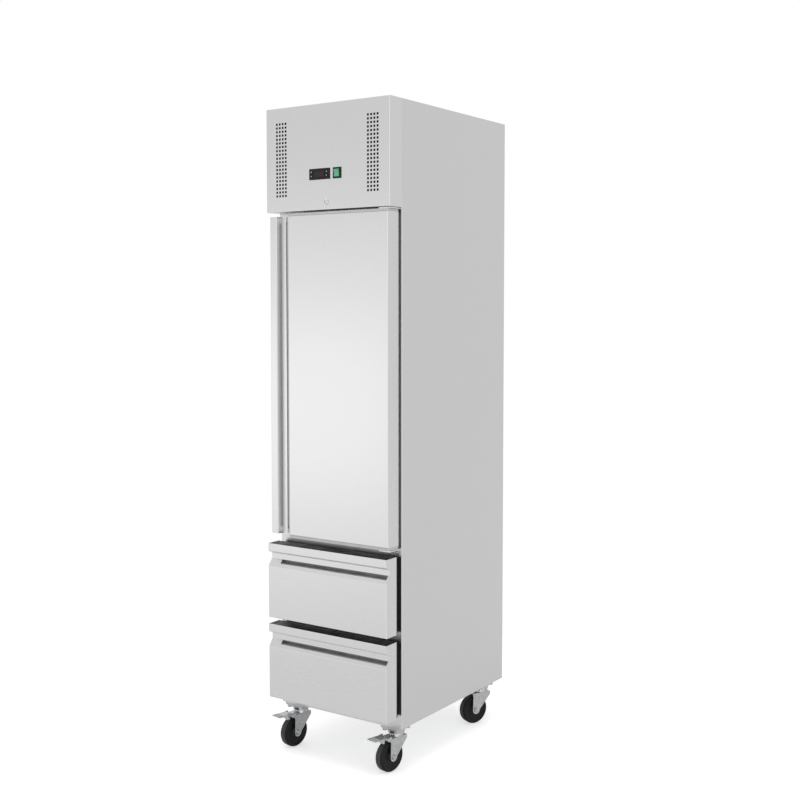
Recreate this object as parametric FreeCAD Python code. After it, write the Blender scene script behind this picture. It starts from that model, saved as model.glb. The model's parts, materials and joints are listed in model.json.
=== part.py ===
import FreeCAD, Part

# Slim upright freezer cabinet: machine fascia on top, one tall door, two drawers, four castors.
# Millimetres. X runs to the right, Y to the rear, Z up. The origin is on the floor under the
# middle of the cabinet. The door and the drawers face -Y.

import math
import os

from FreeCAD import Vector

# Overall size
OVERALL_WIDTH = 485.0
OVERALL_DEPTH = 710.0
OVERALL_HEIGHT = 2100.0

# Sheet, walls and running gaps
SHEET = 1.2
LINER = 1.0
WALL = 60.0
RUN_GAP = 0.3
SHAFT_GAP = 0.05
EDGE_ROUND = 2.0
COVING_ROUND = 12.0
HEM = 16.0

# Heights up the front
SILL_DROP = 37.0
DRAWER_HEIGHT = 245.0
DRAWER_GAP = 22.0
DOOR_DRAWER_GAP = 25.0
DOOR_FASCIA_GAP = 6.0
FASCIA_HEIGHT = 330.0
SEAL_SEAT = 33.0
HEADER_RISE = 30.0

# Depths of the front
FRONT_STACK = 75.0
DOOR_SETBACK = 9.0
FASCIA_SETBACK = 10.0
MULLION_DEPTH = 45.0

# Door and drawer fronts
FRONT_INSET = 6.5
HANDLE_SIDE_INSET = 14.0
DOOR_THICKNESS = 57.0
DOOR_LINER_THICKNESS = 3.0
DOOR_LINER_RISE = 6.0
DOOR_LINER_MARGIN = 6.0
DOOR_TOP_CAP = 8.0
DOOR_BOTTOM_CAP = 9.0
CAP_INSET = 0.6
DRAWER_THICKNESS = 55.0
DRAWER_FRAME_DEPTH = 10.0
DRAWER_FRAME_INSET = 3.0

# Folded handle, from the free edge of the front inwards
LIP = 26.0
LIP_SLANT = 8.0
LIP_ROUND = 2.5
NOTCH_DEPTH = 18.0
NOTCH_WALL = 18.0
SLOPE_RUN = 24.0
SLOT_HEIGHT = 13.0
POCKET_RISE = 10.0
POCKET_WALL = 1.5
POCKET_DEEP = 18.0
POCKET_END = 18.0
DRAWER_POCKET_LEFT = 44.0
DRAWER_POCKET_RIGHT = 6.0

# Door and drawer seals
GASKET_INSET = 10.0
DOOR_GASKET_SIDE = 22.5
GASKET_WIDTH = 18.0
GASKET_BASE = 3.0
GASKET_WAIST = 3.0

# Hinges on the right edge of the door
PIVOT_INSET = 15.0
PIVOT_BACK = 24.0
HINGE_PIN_RADIUS = 5.0
HINGE_PIN_REACH = 20.0
HINGE_BOSS_RADIUS = 8.0
HINGE_PLATE = 4.0
HINGE_CLEARANCE = 1.0
HINGE_LEAF = 3.0
HINGE_LEAF_HEIGHT = 28.0
HINGE_REACH_IN = 42.0
HINGE_NOSE = 12.0

# Drawer boxes and telescopic rails
BOX_REAR_GAP = 45.0
BOX_HEIGHT = 150.0
BOX_LIFT = 8.0
RAIL_SPACE = 14.0
RAIL_REAR_GAP = 69.0
RAIL_HEIGHT = 42.0
RAIL_DEPTH = 12.0
RAIL_SHEET = 1.5
RAIL_GAP = 0.4
RAIL_LIFT = 49.0
RAIL_FRONT_MARGIN = 6.0

# Fascia openings and fittings, measured from its left and bottom edges
VENT_HOLE = 7.0
VENT_PITCH = 12.0
VENT_COLUMNS = 4
VENT_SIDE = 44.5
VENT_EDGE = 51.0
CONTROLLER_LEFT = 178.0
CONTROLLER_BOTTOM = 94.5
CONTROLLER_WIDTH = 80.0
CONTROLLER_HEIGHT = 34.5
CONTROLLER_PROUD = 4.0
CONTROLLER_DEEP = 45.0
BEZEL_LIP = 3.0
WINDOW_WIDTH = 40.0
WINDOW_HEIGHT = 20.0
WINDOW_DEPTH = 1.5
BUTTON_WIDTH = 7.0
BUTTON_HEIGHT = 5.5
BUTTON_SPACING = 13.0
BUTTON_PROUD = 0.8
BUTTON_DEPTH = 2.6
BUTTON_TRAVEL = 0.6
SWITCH_LEFT = 270.5
SWITCH_BOTTOM = 94.5
SWITCH_WIDTH = 32.0
SWITCH_HEIGHT = 34.5
SWITCH_PROUD = 3.0
SWITCH_DEEP = 28.0
ROCKER_WIDTH = 19.0
ROCKER_RADIUS = 13.4
ROCKER_PROUD = 8.0
ROCKER_DIP = 5.8
ROCKER_BACK = 5.0
ROCKER_PIN_RADIUS = 1.5
ROCKER_TILT = 9.0
LOCK_LEFT = 240.5
LOCK_BOTTOM = 24.5
LOCK_FLANGE_RADIUS = 10.5
LOCK_FLANGE = 3.0
LOCK_BARREL_RADIUS = 8.5
LOCK_BARREL = 22.0
LOCK_PLUG_RADIUS = 5.5
LOCK_PLUG_PROUD = 1.0
KEYHOLE_WIDTH = 1.6
KEYHOLE_HEIGHT = 7.0
KEYHOLE_DEPTH = 6.0
CAM_LENGTH = 44.0
CAM_WIDTH = 14.0
CAM_THICKNESS = 3.0
CAM_CLEARANCE = 3.0

# Refrigeration unit on the machine deck
DECK = 1.5
CONDENSER_DEPTH = 55.0
CONDENSER_HEIGHT = 240.0
CONDENSER_LEFT = 48.0
CONDENSER_RIGHT = 147.0
CONDENSER_SETBACK = 40.0
FIN_PITCH = 8.0
FIN = 1.0
FIN_REACH = 4.0
BEND_RADIUS = 12.5
COIL_TUBE = 4.0
SHROUD_DEPTH = 45.0
CONDENSER_FAN_RADIUS = 98.0
FAN_TIP_GAP = 5.0
FAN_RING = 18.0
FAN_BLADES = 5
FAN_CHORD = 44.0
FAN_BLADE = 1.6
FAN_PITCH_ANGLE = 28.0
FAN_HUB_RADIUS = 22.0
FAN_HUB = 24.0
MOTOR_RADIUS = 30.0
MOTOR_LENGTH = 46.0
MOTOR_SHAFT = 3.0
MOTOR_STANDOFF = 10.0
MOTOR_ARM_WIDTH = 12.0
MOTOR_ARM = 3.0
COMPRESSOR_RADIUS = 80.0
COMPRESSOR_HEIGHT = 185.0
COMPRESSOR_DOME = 34.0
COMPRESSOR_FROM_RIGHT = 117.0
COMPRESSOR_FROM_REAR = 165.0
COMPRESSOR_FOOT_LENGTH = 196.0
COMPRESSOR_FOOT_WIDTH = 150.0
COMPRESSOR_FOOT = 3.0
GROMMET_RADIUS = 11.0
GROMMET_HEIGHT = 14.0
TERMINAL_WIDTH = 56.0
TERMINAL_HEIGHT = 62.0
TERMINAL_DEPTH = 30.0
STUB = 10.0
DISCHARGE_RADIUS = 4.0
SUCTION_RADIUS = 6.0
LIQUID_RADIUS = 3.0
PIPE_BEND = 24.0
DRIER_RADIUS = 12.0
DRIER_LENGTH = 90.0
ELECTRIC_WIDTH = 130.0
ELECTRIC_DEPTH = 84.0
ELECTRIC_HEIGHT = 90.0
ELECTRIC_FROM_LEFT = 30.0
INLET_WIDTH = 48.0
INLET_HEIGHT = 28.0
INLET_DEPTH = 24.0
INLET_LIFT = 34.0
SOCKET_WIDTH = 26.0
SOCKET_HEIGHT = 18.0
SOCKET_DEPTH = 16.0
LOUVRE_WIDTH = 150.0
LOUVRE_HEIGHT = 6.0
LOUVRE_PITCH = 16.0
LOUVRE_EDGE = 60.0
LOUVRE_FROM_RIGHT = 40.0

# Evaporator under the ceiling
COVER_SIDE_GAP = 12.5
COVER_DEPTH = 330.0
COVER_HEIGHT = 110.0
COVER_FROM_REAR = 20.0
EVAPORATOR_MARGIN = 22.0
EVAPORATOR_DEPTH = 170.0
EVAPORATOR_DROP = 74.0
EVAPORATOR_FROM_REAR = 30.0
EVAPORATOR_FAN_RADIUS = 44.0
RETURN_SLOTS = 9
RETURN_SLOT_WIDTH = 8.0
RETURN_SLOT_PITCH = 18.0

# Shelves on their racks
SHELF_SIDE_GAP = 7.5
SHELF_FIRST = 26.0
TOP_SHELF_SPACE = 263.0
SHELF_COUNT = 3
SHELF_FRONT_MARGIN = 14.0
SHELF_REAR_MARGIN = 31.0
SHELF_FRAME_RADIUS = 3.5
SHELF_ROD_RADIUS = 3.0
SHELF_WIRE_RADIUS = 2.0
SHELF_WIRES = 15
SHELF_CROSS_RODS = 3
PILASTER_WIDTH = 26.0
PILASTER = 2.0
PILASTER_MARGIN = 70.0
SLIDE_HEIGHT = 24.0
SLIDE_LEDGE = 22.0
SLIDE = 1.5

# Castors
WHEEL_RADIUS = 50.0
WHEEL_WIDTH = 32.0
WHEEL_SHOULDER = 6.0
WHEEL_DISH = 4.0
WHEEL_RIM = 9.0
WHEEL_HUB_RADIUS = 16.0
WHEEL_CLEAR = 6.0
WHEEL_SIDE_GAP = 3.0
HUB_SIDE_GAP = 0.3
AXLE_RADIUS = 5.0
AXLE_HEAD_RADIUS = 8.5
AXLE_HEAD = 5.0
CASTOR_TRAIL = 32.0
CASTOR_FROM_SIDE = 47.5
FRONT_CASTOR_Y = 113.5
REAR_CASTOR_Y = 70.0
FORK_SHEET = 3.0
FORK_FRONT = 44.0
FORK_BACK = 26.0
FORK_EYE = 14.0
CROWN = 4.0
LOWER_CUP = 9.0
LOWER_CUP_RADIUS = 24.0
UPPER_CUP = 13.6
UPPER_CUP_RADIUS = 27.0
CUP_GAP = 0.4
KINGPIN_RADIUS = 6.0
KINGPIN_HEAD = 4.0
KINGPIN_HEAD_RADIUS = 10.0
CASTOR_PLATE = 4.0
CASTOR_PLATE_WIDTH = 66.0
CASTOR_PLATE_LENGTH = 74.0
CASTOR_PLATE_ROUND = 8.0
BOLT_SPACING_X = 50.0
BOLT_SPACING_Y = 56.0
BOLT_RADIUS = 4.0
BOLT_HEAD_RADIUS = 7.0
BOLT_HEAD = 5.3
BOLT_GAP = 0.4
FRONT_LEFT_TURN = -9.0
FRONT_RIGHT_TURN = -11.0
REAR_LEFT_TURN = -6.0
REAR_RIGHT_TURN = -26.0
PAD = 8.0
PAD_MARGIN = 4.0
PEDAL_PIVOT_FORWARD = 52.0
PEDAL_PIVOT_ABOVE = 4.0
PEDAL_PIN_RADIUS = 3.0
PEDAL_EYE = 6.5
PEDAL_REACH = 58.0
PEDAL_RISE = 2.0
PEDAL_SHEET = 3.0
PEDAL_RIBS = 4
PEDAL_RIB = 1.5
SHOE_FORWARD = 6.0
SHOE_LENGTH = 8.0
SHOE_DROP = 13.0

# Planes that follow from the sizes above
HALF_WIDTH = OVERALL_WIDTH / 2
FRONT_Y = -OVERALL_DEPTH / 2
REAR_Y = OVERALL_DEPTH / 2
BODY_FRONT = FRONT_Y + FRONT_STACK
DOOR_FRONT = FRONT_Y + DOOR_SETBACK
DOOR_BACK = DOOR_FRONT + DOOR_THICKNESS
FASCIA_FRONT = FRONT_Y + FASCIA_SETBACK
FORK_CROWN = 2 * WHEEL_RADIUS + WHEEL_CLEAR
CROWN_TOP = FORK_CROWN + CROWN
LOWER_CUP_TOP = CROWN_TOP + LOWER_CUP
UPPER_CUP_BOTTOM = LOWER_CUP_TOP + CUP_GAP
PLATE_BOTTOM = UPPER_CUP_BOTTOM + UPPER_CUP
PLATE_TOP = PLATE_BOTTOM + CASTOR_PLATE
BODY_BOTTOM = PLATE_TOP + PAD
LOWER_DRAWER = BODY_BOTTOM + SILL_DROP
UPPER_DRAWER = LOWER_DRAWER + DRAWER_HEIGHT + DRAWER_GAP
DOOR_BOTTOM = UPPER_DRAWER + DRAWER_HEIGHT + DOOR_DRAWER_GAP
FASCIA_BOTTOM = OVERALL_HEIGHT - FASCIA_HEIGHT
DOOR_TOP = FASCIA_BOTTOM - DOOR_FASCIA_GAP
DOOR_HEIGHT = DOOR_TOP - DOOR_BOTTOM
DECK_BOTTOM = FASCIA_BOTTOM + HEADER_RISE
DECK_TOP = DECK_BOTTOM + DECK
FLOOR = LOWER_DRAWER + SEAL_SEAT
CEILING = DOOR_TOP - SEAL_SEAT
INNER_HALF = HALF_WIDTH - WALL
INNER_REAR = REAR_Y - WALL
DOOR_LEFT = -HALF_WIDTH + HANDLE_SIDE_INSET
DOOR_RIGHT = HALF_WIDTH - FRONT_INSET
DOOR_WIDTH = DOOR_RIGHT - DOOR_LEFT
DRAWER_LEFT = -HALF_WIDTH + FRONT_INSET
DRAWER_WIDTH = OVERALL_WIDTH - 2 * FRONT_INSET
DRAWER_FRAME_FRONT = FRONT_Y + DRAWER_THICKNESS
DRAWER_FRAME_BACK = DRAWER_FRAME_FRONT + DRAWER_FRAME_DEPTH
BOX_LENGTH = INNER_REAR - BOX_REAR_GAP - DRAWER_FRAME_BACK
RAIL_FRONT = BODY_FRONT + RAIL_FRONT_MARGIN
RAIL_LENGTH = INNER_REAR - RAIL_REAR_GAP - RAIL_FRONT
CONDENSER_WIDTH = OVERALL_WIDTH - CONDENSER_LEFT - CONDENSER_RIGHT
COVER_WIDTH = 2 * (INNER_HALF - COVER_SIDE_GAP)
COVER_BOTTOM = CEILING - COVER_HEIGHT
SHELF_WIDTH = 2 * (INNER_HALF - SHELF_SIDE_GAP)
SHELF_LENGTH = INNER_REAR - SHELF_REAR_MARGIN - BODY_FRONT - SHELF_FRONT_MARGIN
FIRST_SHELF = DOOR_BOTTOM + SEAL_SEAT + SHELF_FIRST
SHELF_STEP = (COVER_BOTTOM - TOP_SHELF_SPACE - FIRST_SHELF) / (SHELF_COUNT - 1)
PIVOT_X = DOOR_RIGHT - PIVOT_INSET
PIVOT_Y = DOOR_FRONT + PIVOT_BACK
LOCK_X = -HALF_WIDTH + LOCK_LEFT
LOCK_Z = FASCIA_BOTTOM + LOCK_BOTTOM
CAM_FRONT = FASCIA_FRONT + LOCK_BARREL

NOTCH_START = LIP + LIP_SLANT
NOTCH_END = NOTCH_START + NOTCH_WALL
SLOPE_END = NOTCH_END + SLOPE_RUN
POCKET_BACK = NOTCH_DEPTH + POCKET_DEEP

AXIS_X = Vector(1, 0, 0)
AXIS_Y = Vector(0, 1, 0)
AXIS_Z = Vector(0, 0, 1)


def box(x, y, z):
    """Box between a (low, high) pair along each axis."""
    size = Vector(x[1] - x[0], y[1] - y[0], z[1] - z[0])
    return Part.makeBox(size.x, size.y, size.z, Vector(x[0], y[0], z[0]))


def centred(middle, size):
    """The (low, high) pair of a length about its middle."""
    return (middle - size / 2, middle + size / 2)


def rod(radius, start, end):
    """Round bar between two points."""
    axis = end - start
    return Part.makeCylinder(radius, axis.Length, start, axis)


def hexagon(radius, start, end):
    """Hexagonal head between two points, with its corners at the radius."""
    axis = (end - start).normalize()
    side = axis.cross(AXIS_Z if abs(axis.z) < 0.5 else AXIS_X).normalize()
    other = axis.cross(side)
    corners = []
    for step in range(6):
        turn = math.radians(60 * step)
        corners.append(start + side * (radius * math.cos(turn)) + other * (radius * math.sin(turn)))
    return prism(corners, end - start)


def prism(corners, sweep):
    """Straight extrusion of a closed polygon."""
    outline = Part.makePolygon(corners + [corners[0]])
    return Part.Face(outline).extrude(sweep)


def fuse(shapes):
    """One clean solid from overlapping or touching pieces."""
    return shapes[0].multiFuse(shapes[1:]).removeSplitter()


def mirrored(shape):
    """The same shape on the other side of the cabinet."""
    return shape.mirror(Vector(0, 0, 0), AXIS_X)


def edges_on(shape, test):
    """Edges whose two ends both pass a test."""
    return [edge for edge in shape.Edges if all(test(vertex.Point) for vertex in edge.Vertexes)]


def near(value, target):
    """Whether two coordinates are the same place."""
    return abs(value - target) < 1e-4


def ring(x, z, width, y):
    """Rectangular frame of one width, lying in the plane of the front."""
    hole = box((x[0] + width, x[1] - width), y, (z[0] + width, z[1] - width))
    return box(x, y, z).cut(hole)


def pipe(points, radius, bend):
    """Round tube along straight runs with one bend radius at each corner."""
    edges = []
    start = points[0]
    for before, corner, after in zip(points, points[1:], points[2:]):
        towards = (before - corner).normalize()
        onwards = (after - corner).normalize()
        half_turn = (math.pi - towards.getAngle(onwards)) / 2
        setback = bend * math.tan(half_turn)
        first = corner + towards * setback
        last = corner + onwards * setback
        inwards = (towards + onwards).normalize()
        middle = corner + inwards * (bend / math.cos(half_turn) - bend)
        edges.append(Part.LineSegment(start, first).toShape())
        edges.append(Part.Arc(first, middle, last).toShape())
        start = last
    edges.append(Part.LineSegment(start, points[-1]).toShape())
    path = Part.Wire(edges)
    section = Part.Wire(Part.makeCircle(radius, points[0], points[1] - points[0]))
    return path.makePipeShell([section], True, False)


def save(node, *solids):
    """Write one node, with its separate solids side by side."""
    shape = solids[0] if len(solids) == 1 else Part.makeCompound(list(solids))
    shape.exportStep(os.path.join("parts", node + ".step"))


# Outer body


def side_panel():
    """Right side sheet with its front flange, rear flange and top hem."""
    depth = (BODY_FRONT, REAR_Y - SHEET)
    full_height = (BODY_BOTTOM, OVERALL_HEIGHT)
    below_deck = (BODY_BOTTOM, DECK_BOTTOM)
    wall = (HALF_WIDTH - SHEET, HALF_WIDTH)
    lower_skin = box(wall, (BODY_FRONT, REAR_Y), below_deck)
    flange = box((INNER_HALF, HALF_WIDTH), (BODY_FRONT, BODY_FRONT + SHEET), below_deck)
    lower = fuse([lower_skin, flange])
    corner = edges_on(lower, lambda p: near(p.x, HALF_WIDTH) and near(p.y, BODY_FRONT))
    lower = lower.makeFillet(EDGE_ROUND, corner)
    upper_skin = box(wall, (BODY_FRONT, REAR_Y), (DECK_BOTTOM, OVERALL_HEIGHT))
    rear = box((HALF_WIDTH - HEM, HALF_WIDTH), (REAR_Y - 2 * SHEET, REAR_Y - SHEET), full_height)
    hem = box((HALF_WIDTH - HEM, HALF_WIDTH), depth, (OVERALL_HEIGHT - SHEET, OVERALL_HEIGHT))
    return fuse([lower, upper_skin, rear, hem])


def rear_panel():
    """Rear sheet with louvre slots behind the machine bay and a cut-out for the power inlet."""
    height = (BODY_BOTTOM, OVERALL_HEIGHT)
    width = (-HALF_WIDTH + SHEET, HALF_WIDTH - SHEET)
    sheet = box(width, (REAR_Y - SHEET, REAR_Y), height)
    rows = int((OVERALL_HEIGHT - DECK_TOP - 2 * LOUVRE_EDGE) / LOUVRE_PITCH) + 1
    right = HALF_WIDTH - LOUVRE_FROM_RIGHT
    slot_x = (right - LOUVRE_WIDTH, right)
    middle = (DECK_TOP + OVERALL_HEIGHT) / 2
    cuts = []
    for row in range(rows):
        z = middle + (row - (rows - 1) / 2) * LOUVRE_PITCH
        cuts.append(box(slot_x, (REAR_Y - 2 * SHEET, REAR_Y), centred(z, LOUVRE_HEIGHT)))
    cuts.append(box(centred(inlet_x(), SOCKET_WIDTH), (REAR_Y - 2 * SHEET, REAR_Y), socket_height()))
    return sheet.cut(Part.makeCompound(cuts))


def castor_places():
    """Swivel axis of each castor, by name."""
    x = HALF_WIDTH - CASTOR_FROM_SIDE
    front = FRONT_Y + FRONT_CASTOR_Y
    rear = REAR_Y - REAR_CASTOR_Y
    return {
        "front_left": Vector(-x, front, 0),
        "front_right": Vector(x, front, 0),
        "rear_left": Vector(-x, rear, 0),
        "rear_right": Vector(x, rear, 0),
    }


def castor_turns():
    """How far each castor's fork stands turned from straight ahead, by name."""
    return {
        "front_left": FRONT_LEFT_TURN,
        "front_right": FRONT_RIGHT_TURN,
        "rear_left": REAR_LEFT_TURN,
        "rear_right": REAR_RIGHT_TURN,
    }


def bolt_places(castor):
    """The four bolts of one castor plate."""
    places = []
    for x in (-BOLT_SPACING_X / 2, BOLT_SPACING_X / 2):
        for y in (-BOLT_SPACING_Y / 2, BOLT_SPACING_Y / 2):
            places.append(castor + Vector(x, y, 0))
    return places


def base_panel():
    """Bottom sheet with a welded pad over each castor."""
    width = (-HALF_WIDTH + SHEET, HALF_WIDTH - SHEET)
    depth = (BODY_FRONT + SHEET, REAR_Y - 2 * SHEET)
    pieces = [box(width, depth, (BODY_BOTTOM, BODY_BOTTOM + SHEET))]
    holes = []
    for castor in castor_places().values():
        pad_x = centred(castor.x, CASTOR_PLATE_WIDTH + PAD_MARGIN)
        pad_y = centred(castor.y, CASTOR_PLATE_LENGTH)
        pieces.append(box(pad_x, pad_y, (PLATE_TOP, BODY_BOTTOM)))
        for place in bolt_places(castor):
            bottom = place + Vector(0, 0, PLATE_TOP)
            holes.append(rod(BOLT_RADIUS + BOLT_GAP, bottom, place + Vector(0, 0, BODY_BOTTOM)))
    return fuse(pieces).cut(Part.makeCompound(holes))


def insulation():
    """Foam body: walls, floor, ceiling and back around the storage space."""
    width = HALF_WIDTH - SHEET
    outer = box(
        (-width, width),
        (BODY_FRONT + SHEET, REAR_Y - 2 * SHEET),
        (BODY_BOTTOM + SHEET, DECK_BOTTOM),
    )
    return outer.cut(storage_space(LINER))


def storage_space(margin):
    """The inside of the liner, grown by a margin on every closed side."""
    width = INNER_HALF + margin
    return box(
        (-width, width),
        (BODY_FRONT, INNER_REAR + margin),
        (FLOOR - margin, CEILING + margin),
    )


def inner_liner():
    """Inner sheet with coved rear corners."""
    space = storage_space(0)
    rear_corners = edges_on(space, lambda p: near(p.y, INNER_REAR))
    space = space.makeFillet(COVING_ROUND, rear_corners)
    front_cut = box(
        (-HALF_WIDTH, HALF_WIDTH),
        (BODY_FRONT - SHEET, BODY_FRONT + SHEET),
        (BODY_BOTTOM, DECK_BOTTOM),
    )
    return storage_space(LINER).cut(space).cut(front_cut)


def front_rails():
    """Sill, two mullions and header across the front of the body."""
    width = (-INNER_HALF, INNER_HALF)
    sheet = (BODY_FRONT, BODY_FRONT + SHEET)
    beam = (BODY_FRONT, BODY_FRONT + MULLION_DEPTH)
    sill = box(width, sheet, (BODY_BOTTOM, FLOOR))
    lower = box(width, beam, (LOWER_DRAWER + DRAWER_HEIGHT - SEAL_SEAT, UPPER_DRAWER + SEAL_SEAT))
    upper = box(width, beam, (UPPER_DRAWER + DRAWER_HEIGHT - SEAL_SEAT, DOOR_BOTTOM + SEAL_SEAT))
    header = box(width, sheet, (CEILING, DECK_BOTTOM))
    return sill, lower, upper, header


def machine_deck():
    """Sheet over the insulated ceiling that carries the refrigeration unit."""
    width = HALF_WIDTH - SHEET
    return box((-width, width), (BODY_FRONT, REAR_Y - 2 * SHEET), (DECK_BOTTOM, DECK_TOP))


# Fascia and its fittings


def vent_holes():
    """Two blocks of square vent holes, mirrored about the middle."""
    rows = int((FASCIA_HEIGHT - 2 * VENT_EDGE) / VENT_PITCH) + 1
    middle = FASCIA_BOTTOM + FASCIA_HEIGHT / 2
    through = (FASCIA_FRONT - SHEET, FASCIA_FRONT + 2 * SHEET)
    holes = []
    for column in range(VENT_COLUMNS):
        x = HALF_WIDTH - VENT_SIDE - column * VENT_PITCH
        for row in range(rows):
            z = middle + (row - (rows - 1) / 2) * VENT_PITCH
            for side in (-x, x):
                holes.append(box(centred(side, VENT_HOLE), through, centred(z, VENT_HOLE)))
    return holes


def controller_box(margin):
    """Width and height of the controller, less a margin on each side."""
    left = -HALF_WIDTH + CONTROLLER_LEFT
    bottom = FASCIA_BOTTOM + CONTROLLER_BOTTOM
    width = (left + margin, left + CONTROLLER_WIDTH - margin)
    height = (bottom + margin, bottom + CONTROLLER_HEIGHT - margin)
    return width, height


def switch_box(margin):
    """Width and height of the rocker switch, less a margin on each side."""
    left = -HALF_WIDTH + SWITCH_LEFT
    bottom = FASCIA_BOTTOM + SWITCH_BOTTOM
    width = (left + margin, left + SWITCH_WIDTH - margin)
    height = (bottom + margin, bottom + SWITCH_HEIGHT - margin)
    return width, height


def cam_slot(z):
    """Space that the lock cam sweeps between two heights as it turns down."""
    depth = (CAM_FRONT - CAM_CLEARANCE, CAM_FRONT + CAM_THICKNESS + CAM_CLEARANCE)
    return box((LOCK_X - CAM_LENGTH, LOCK_X + CAM_WIDTH), depth, z)


def fascia_panel():
    """Folded front cover of the machine bay with its cut-outs."""
    outer = box((-HALF_WIDTH, HALF_WIDTH), (FASCIA_FRONT, BODY_FRONT), (FASCIA_BOTTOM, OVERALL_HEIGHT))
    front_edges = edges_on(outer, lambda p: near(p.y, FASCIA_FRONT))
    outer = outer.makeFillet(EDGE_ROUND, front_edges)
    width = HALF_WIDTH - SHEET
    inside = box(
        (-width, width),
        (FASCIA_FRONT + SHEET, BODY_FRONT),
        (FASCIA_BOTTOM + SHEET, OVERALL_HEIGHT - SHEET),
    )
    hinge_gap = box(
        (-width, width),
        (BODY_FRONT - HINGE_LEAF - HINGE_CLEARANCE, BODY_FRONT),
        (FASCIA_BOTTOM, FASCIA_BOTTOM + SHEET),
    )
    through = (FASCIA_FRONT - SHEET, FASCIA_FRONT + 2 * SHEET)
    controller_width, controller_height = controller_box(BEZEL_LIP - RUN_GAP)
    switch_width, switch_height = switch_box(BEZEL_LIP - RUN_GAP)
    cuts = vent_holes()
    cuts.append(box(controller_width, through, controller_height))
    cuts.append(box(switch_width, through, switch_height))
    cuts.append(rod(LOCK_BARREL_RADIUS + RUN_GAP, lock_point(-SHEET), lock_point(2 * SHEET)))
    cuts.append(cam_slot((FASCIA_BOTTOM - SHEET, FASCIA_BOTTOM + 2 * SHEET)))
    return outer.cut(inside).cut(hinge_gap).cut(Part.makeCompound(cuts))


def button_places():
    """Name and middle of each controller key: two left of the window, two right of it."""
    width, height = controller_box(0)
    middle_x = sum(width) / 2
    middle_z = sum(height) / 2
    reach = (WINDOW_WIDTH + CONTROLLER_WIDTH) / 4
    return {
        "button_set": Vector(middle_x - reach, 0, middle_z + BUTTON_SPACING / 2),
        "button_defrost": Vector(middle_x - reach, 0, middle_z - BUTTON_SPACING / 2),
        "button_up": Vector(middle_x + reach, 0, middle_z + BUTTON_SPACING / 2),
        "button_down": Vector(middle_x + reach, 0, middle_z - BUTTON_SPACING / 2),
    }


def controller_housing():
    """Moulded controller with a bezel, a window recess and a well for each key."""
    face = FASCIA_FRONT - CONTROLLER_PROUD
    width, height = controller_box(0)
    bezel = box(width, (face, FASCIA_FRONT), height)
    bezel = bezel.makeFillet(EDGE_ROUND, edges_on(bezel, lambda p: near(p.y, face)))
    body_width, body_height = controller_box(BEZEL_LIP)
    body = box(body_width, (FASCIA_FRONT, FASCIA_FRONT + CONTROLLER_DEEP), body_height)
    cuts = [display_window()]
    for place in button_places().values():
        well_x = centred(place.x, BUTTON_WIDTH + 2 * RUN_GAP)
        well_z = centred(place.z, BUTTON_HEIGHT + 2 * RUN_GAP)
        cuts.append(box(well_x, (face, face + BUTTON_DEPTH + BUTTON_TRAVEL + RUN_GAP), well_z))
    return fuse([bezel, body]).cut(Part.makeCompound(cuts))


def display_window():
    """Clear window set flush in the controller's face."""
    width, height = controller_box(0)
    face = FASCIA_FRONT - CONTROLLER_PROUD
    window_x = centred(sum(width) / 2, WINDOW_WIDTH)
    window_z = centred(sum(height) / 2, WINDOW_HEIGHT)
    return box(window_x, (face, face + WINDOW_DEPTH), window_z)


def controller_button(place):
    """One key, a little proud of the controller's face."""
    face = FASCIA_FRONT - CONTROLLER_PROUD
    depth = (face - BUTTON_PROUD, face + BUTTON_DEPTH)
    return box(centred(place.x, BUTTON_WIDTH), depth, centred(place.z, BUTTON_HEIGHT))


def rocker_axis():
    """Middle of the rocker on its pin."""
    width, height = switch_box(0)
    return Vector(sum(width) / 2, FASCIA_FRONT + SHEET, sum(height) / 2)


def switch_bezel():
    """Switch housing with the rocker's well and its pin."""
    face = FASCIA_FRONT - SWITCH_PROUD
    width, height = switch_box(0)
    bezel = box(width, (face, FASCIA_FRONT), height)
    bezel = bezel.makeFillet(EDGE_ROUND, edges_on(bezel, lambda p: near(p.y, face)))
    body_width, body_height = switch_box(BEZEL_LIP)
    body = box(body_width, (FASCIA_FRONT, FASCIA_FRONT + SWITCH_DEEP), body_height)
    axis = rocker_axis()
    half = ROCKER_WIDTH / 2 + RUN_GAP
    well_depth = (face, axis.y + ROCKER_RADIUS + RUN_GAP)
    well = box((axis.x - half, axis.x + half), well_depth, centred(axis.z, 2 * (ROCKER_RADIUS + RUN_GAP)))
    pin = rod(ROCKER_PIN_RADIUS, axis - AXIS_X * half, axis + AXIS_X * half)
    return fuse([fuse([bezel, body]).cut(well), pin])


def switch_rocker():
    """Rocker with a dipped face, tilted to its on position."""
    axis = rocker_axis()
    end = math.sqrt(ROCKER_RADIUS ** 2 - ROCKER_PROUD ** 2)
    back = math.sqrt(ROCKER_RADIUS ** 2 - ROCKER_BACK ** 2)
    left = axis - AXIS_X * (ROCKER_WIDTH / 2)
    outline = [
        left + Vector(0, -ROCKER_DIP, 0),
        left + Vector(0, -ROCKER_PROUD, end),
        left + Vector(0, 0, ROCKER_RADIUS),
        left + Vector(0, ROCKER_BACK, back),
        left + Vector(0, ROCKER_BACK, -back),
        left + Vector(0, 0, -ROCKER_RADIUS),
        left + Vector(0, -ROCKER_PROUD, -end),
    ]
    sweep = AXIS_X * ROCKER_WIDTH
    bore = rod(ROCKER_PIN_RADIUS + SHAFT_GAP, left, left + sweep)
    rocker = prism(outline, sweep).cut(bore)
    rocker.rotate(axis, AXIS_X, ROCKER_TILT)
    return rocker


def lock_point(depth):
    """Point on the lock's axis, by its depth behind the fascia's face."""
    return Vector(LOCK_X, FASCIA_FRONT + depth, LOCK_Z)


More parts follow.
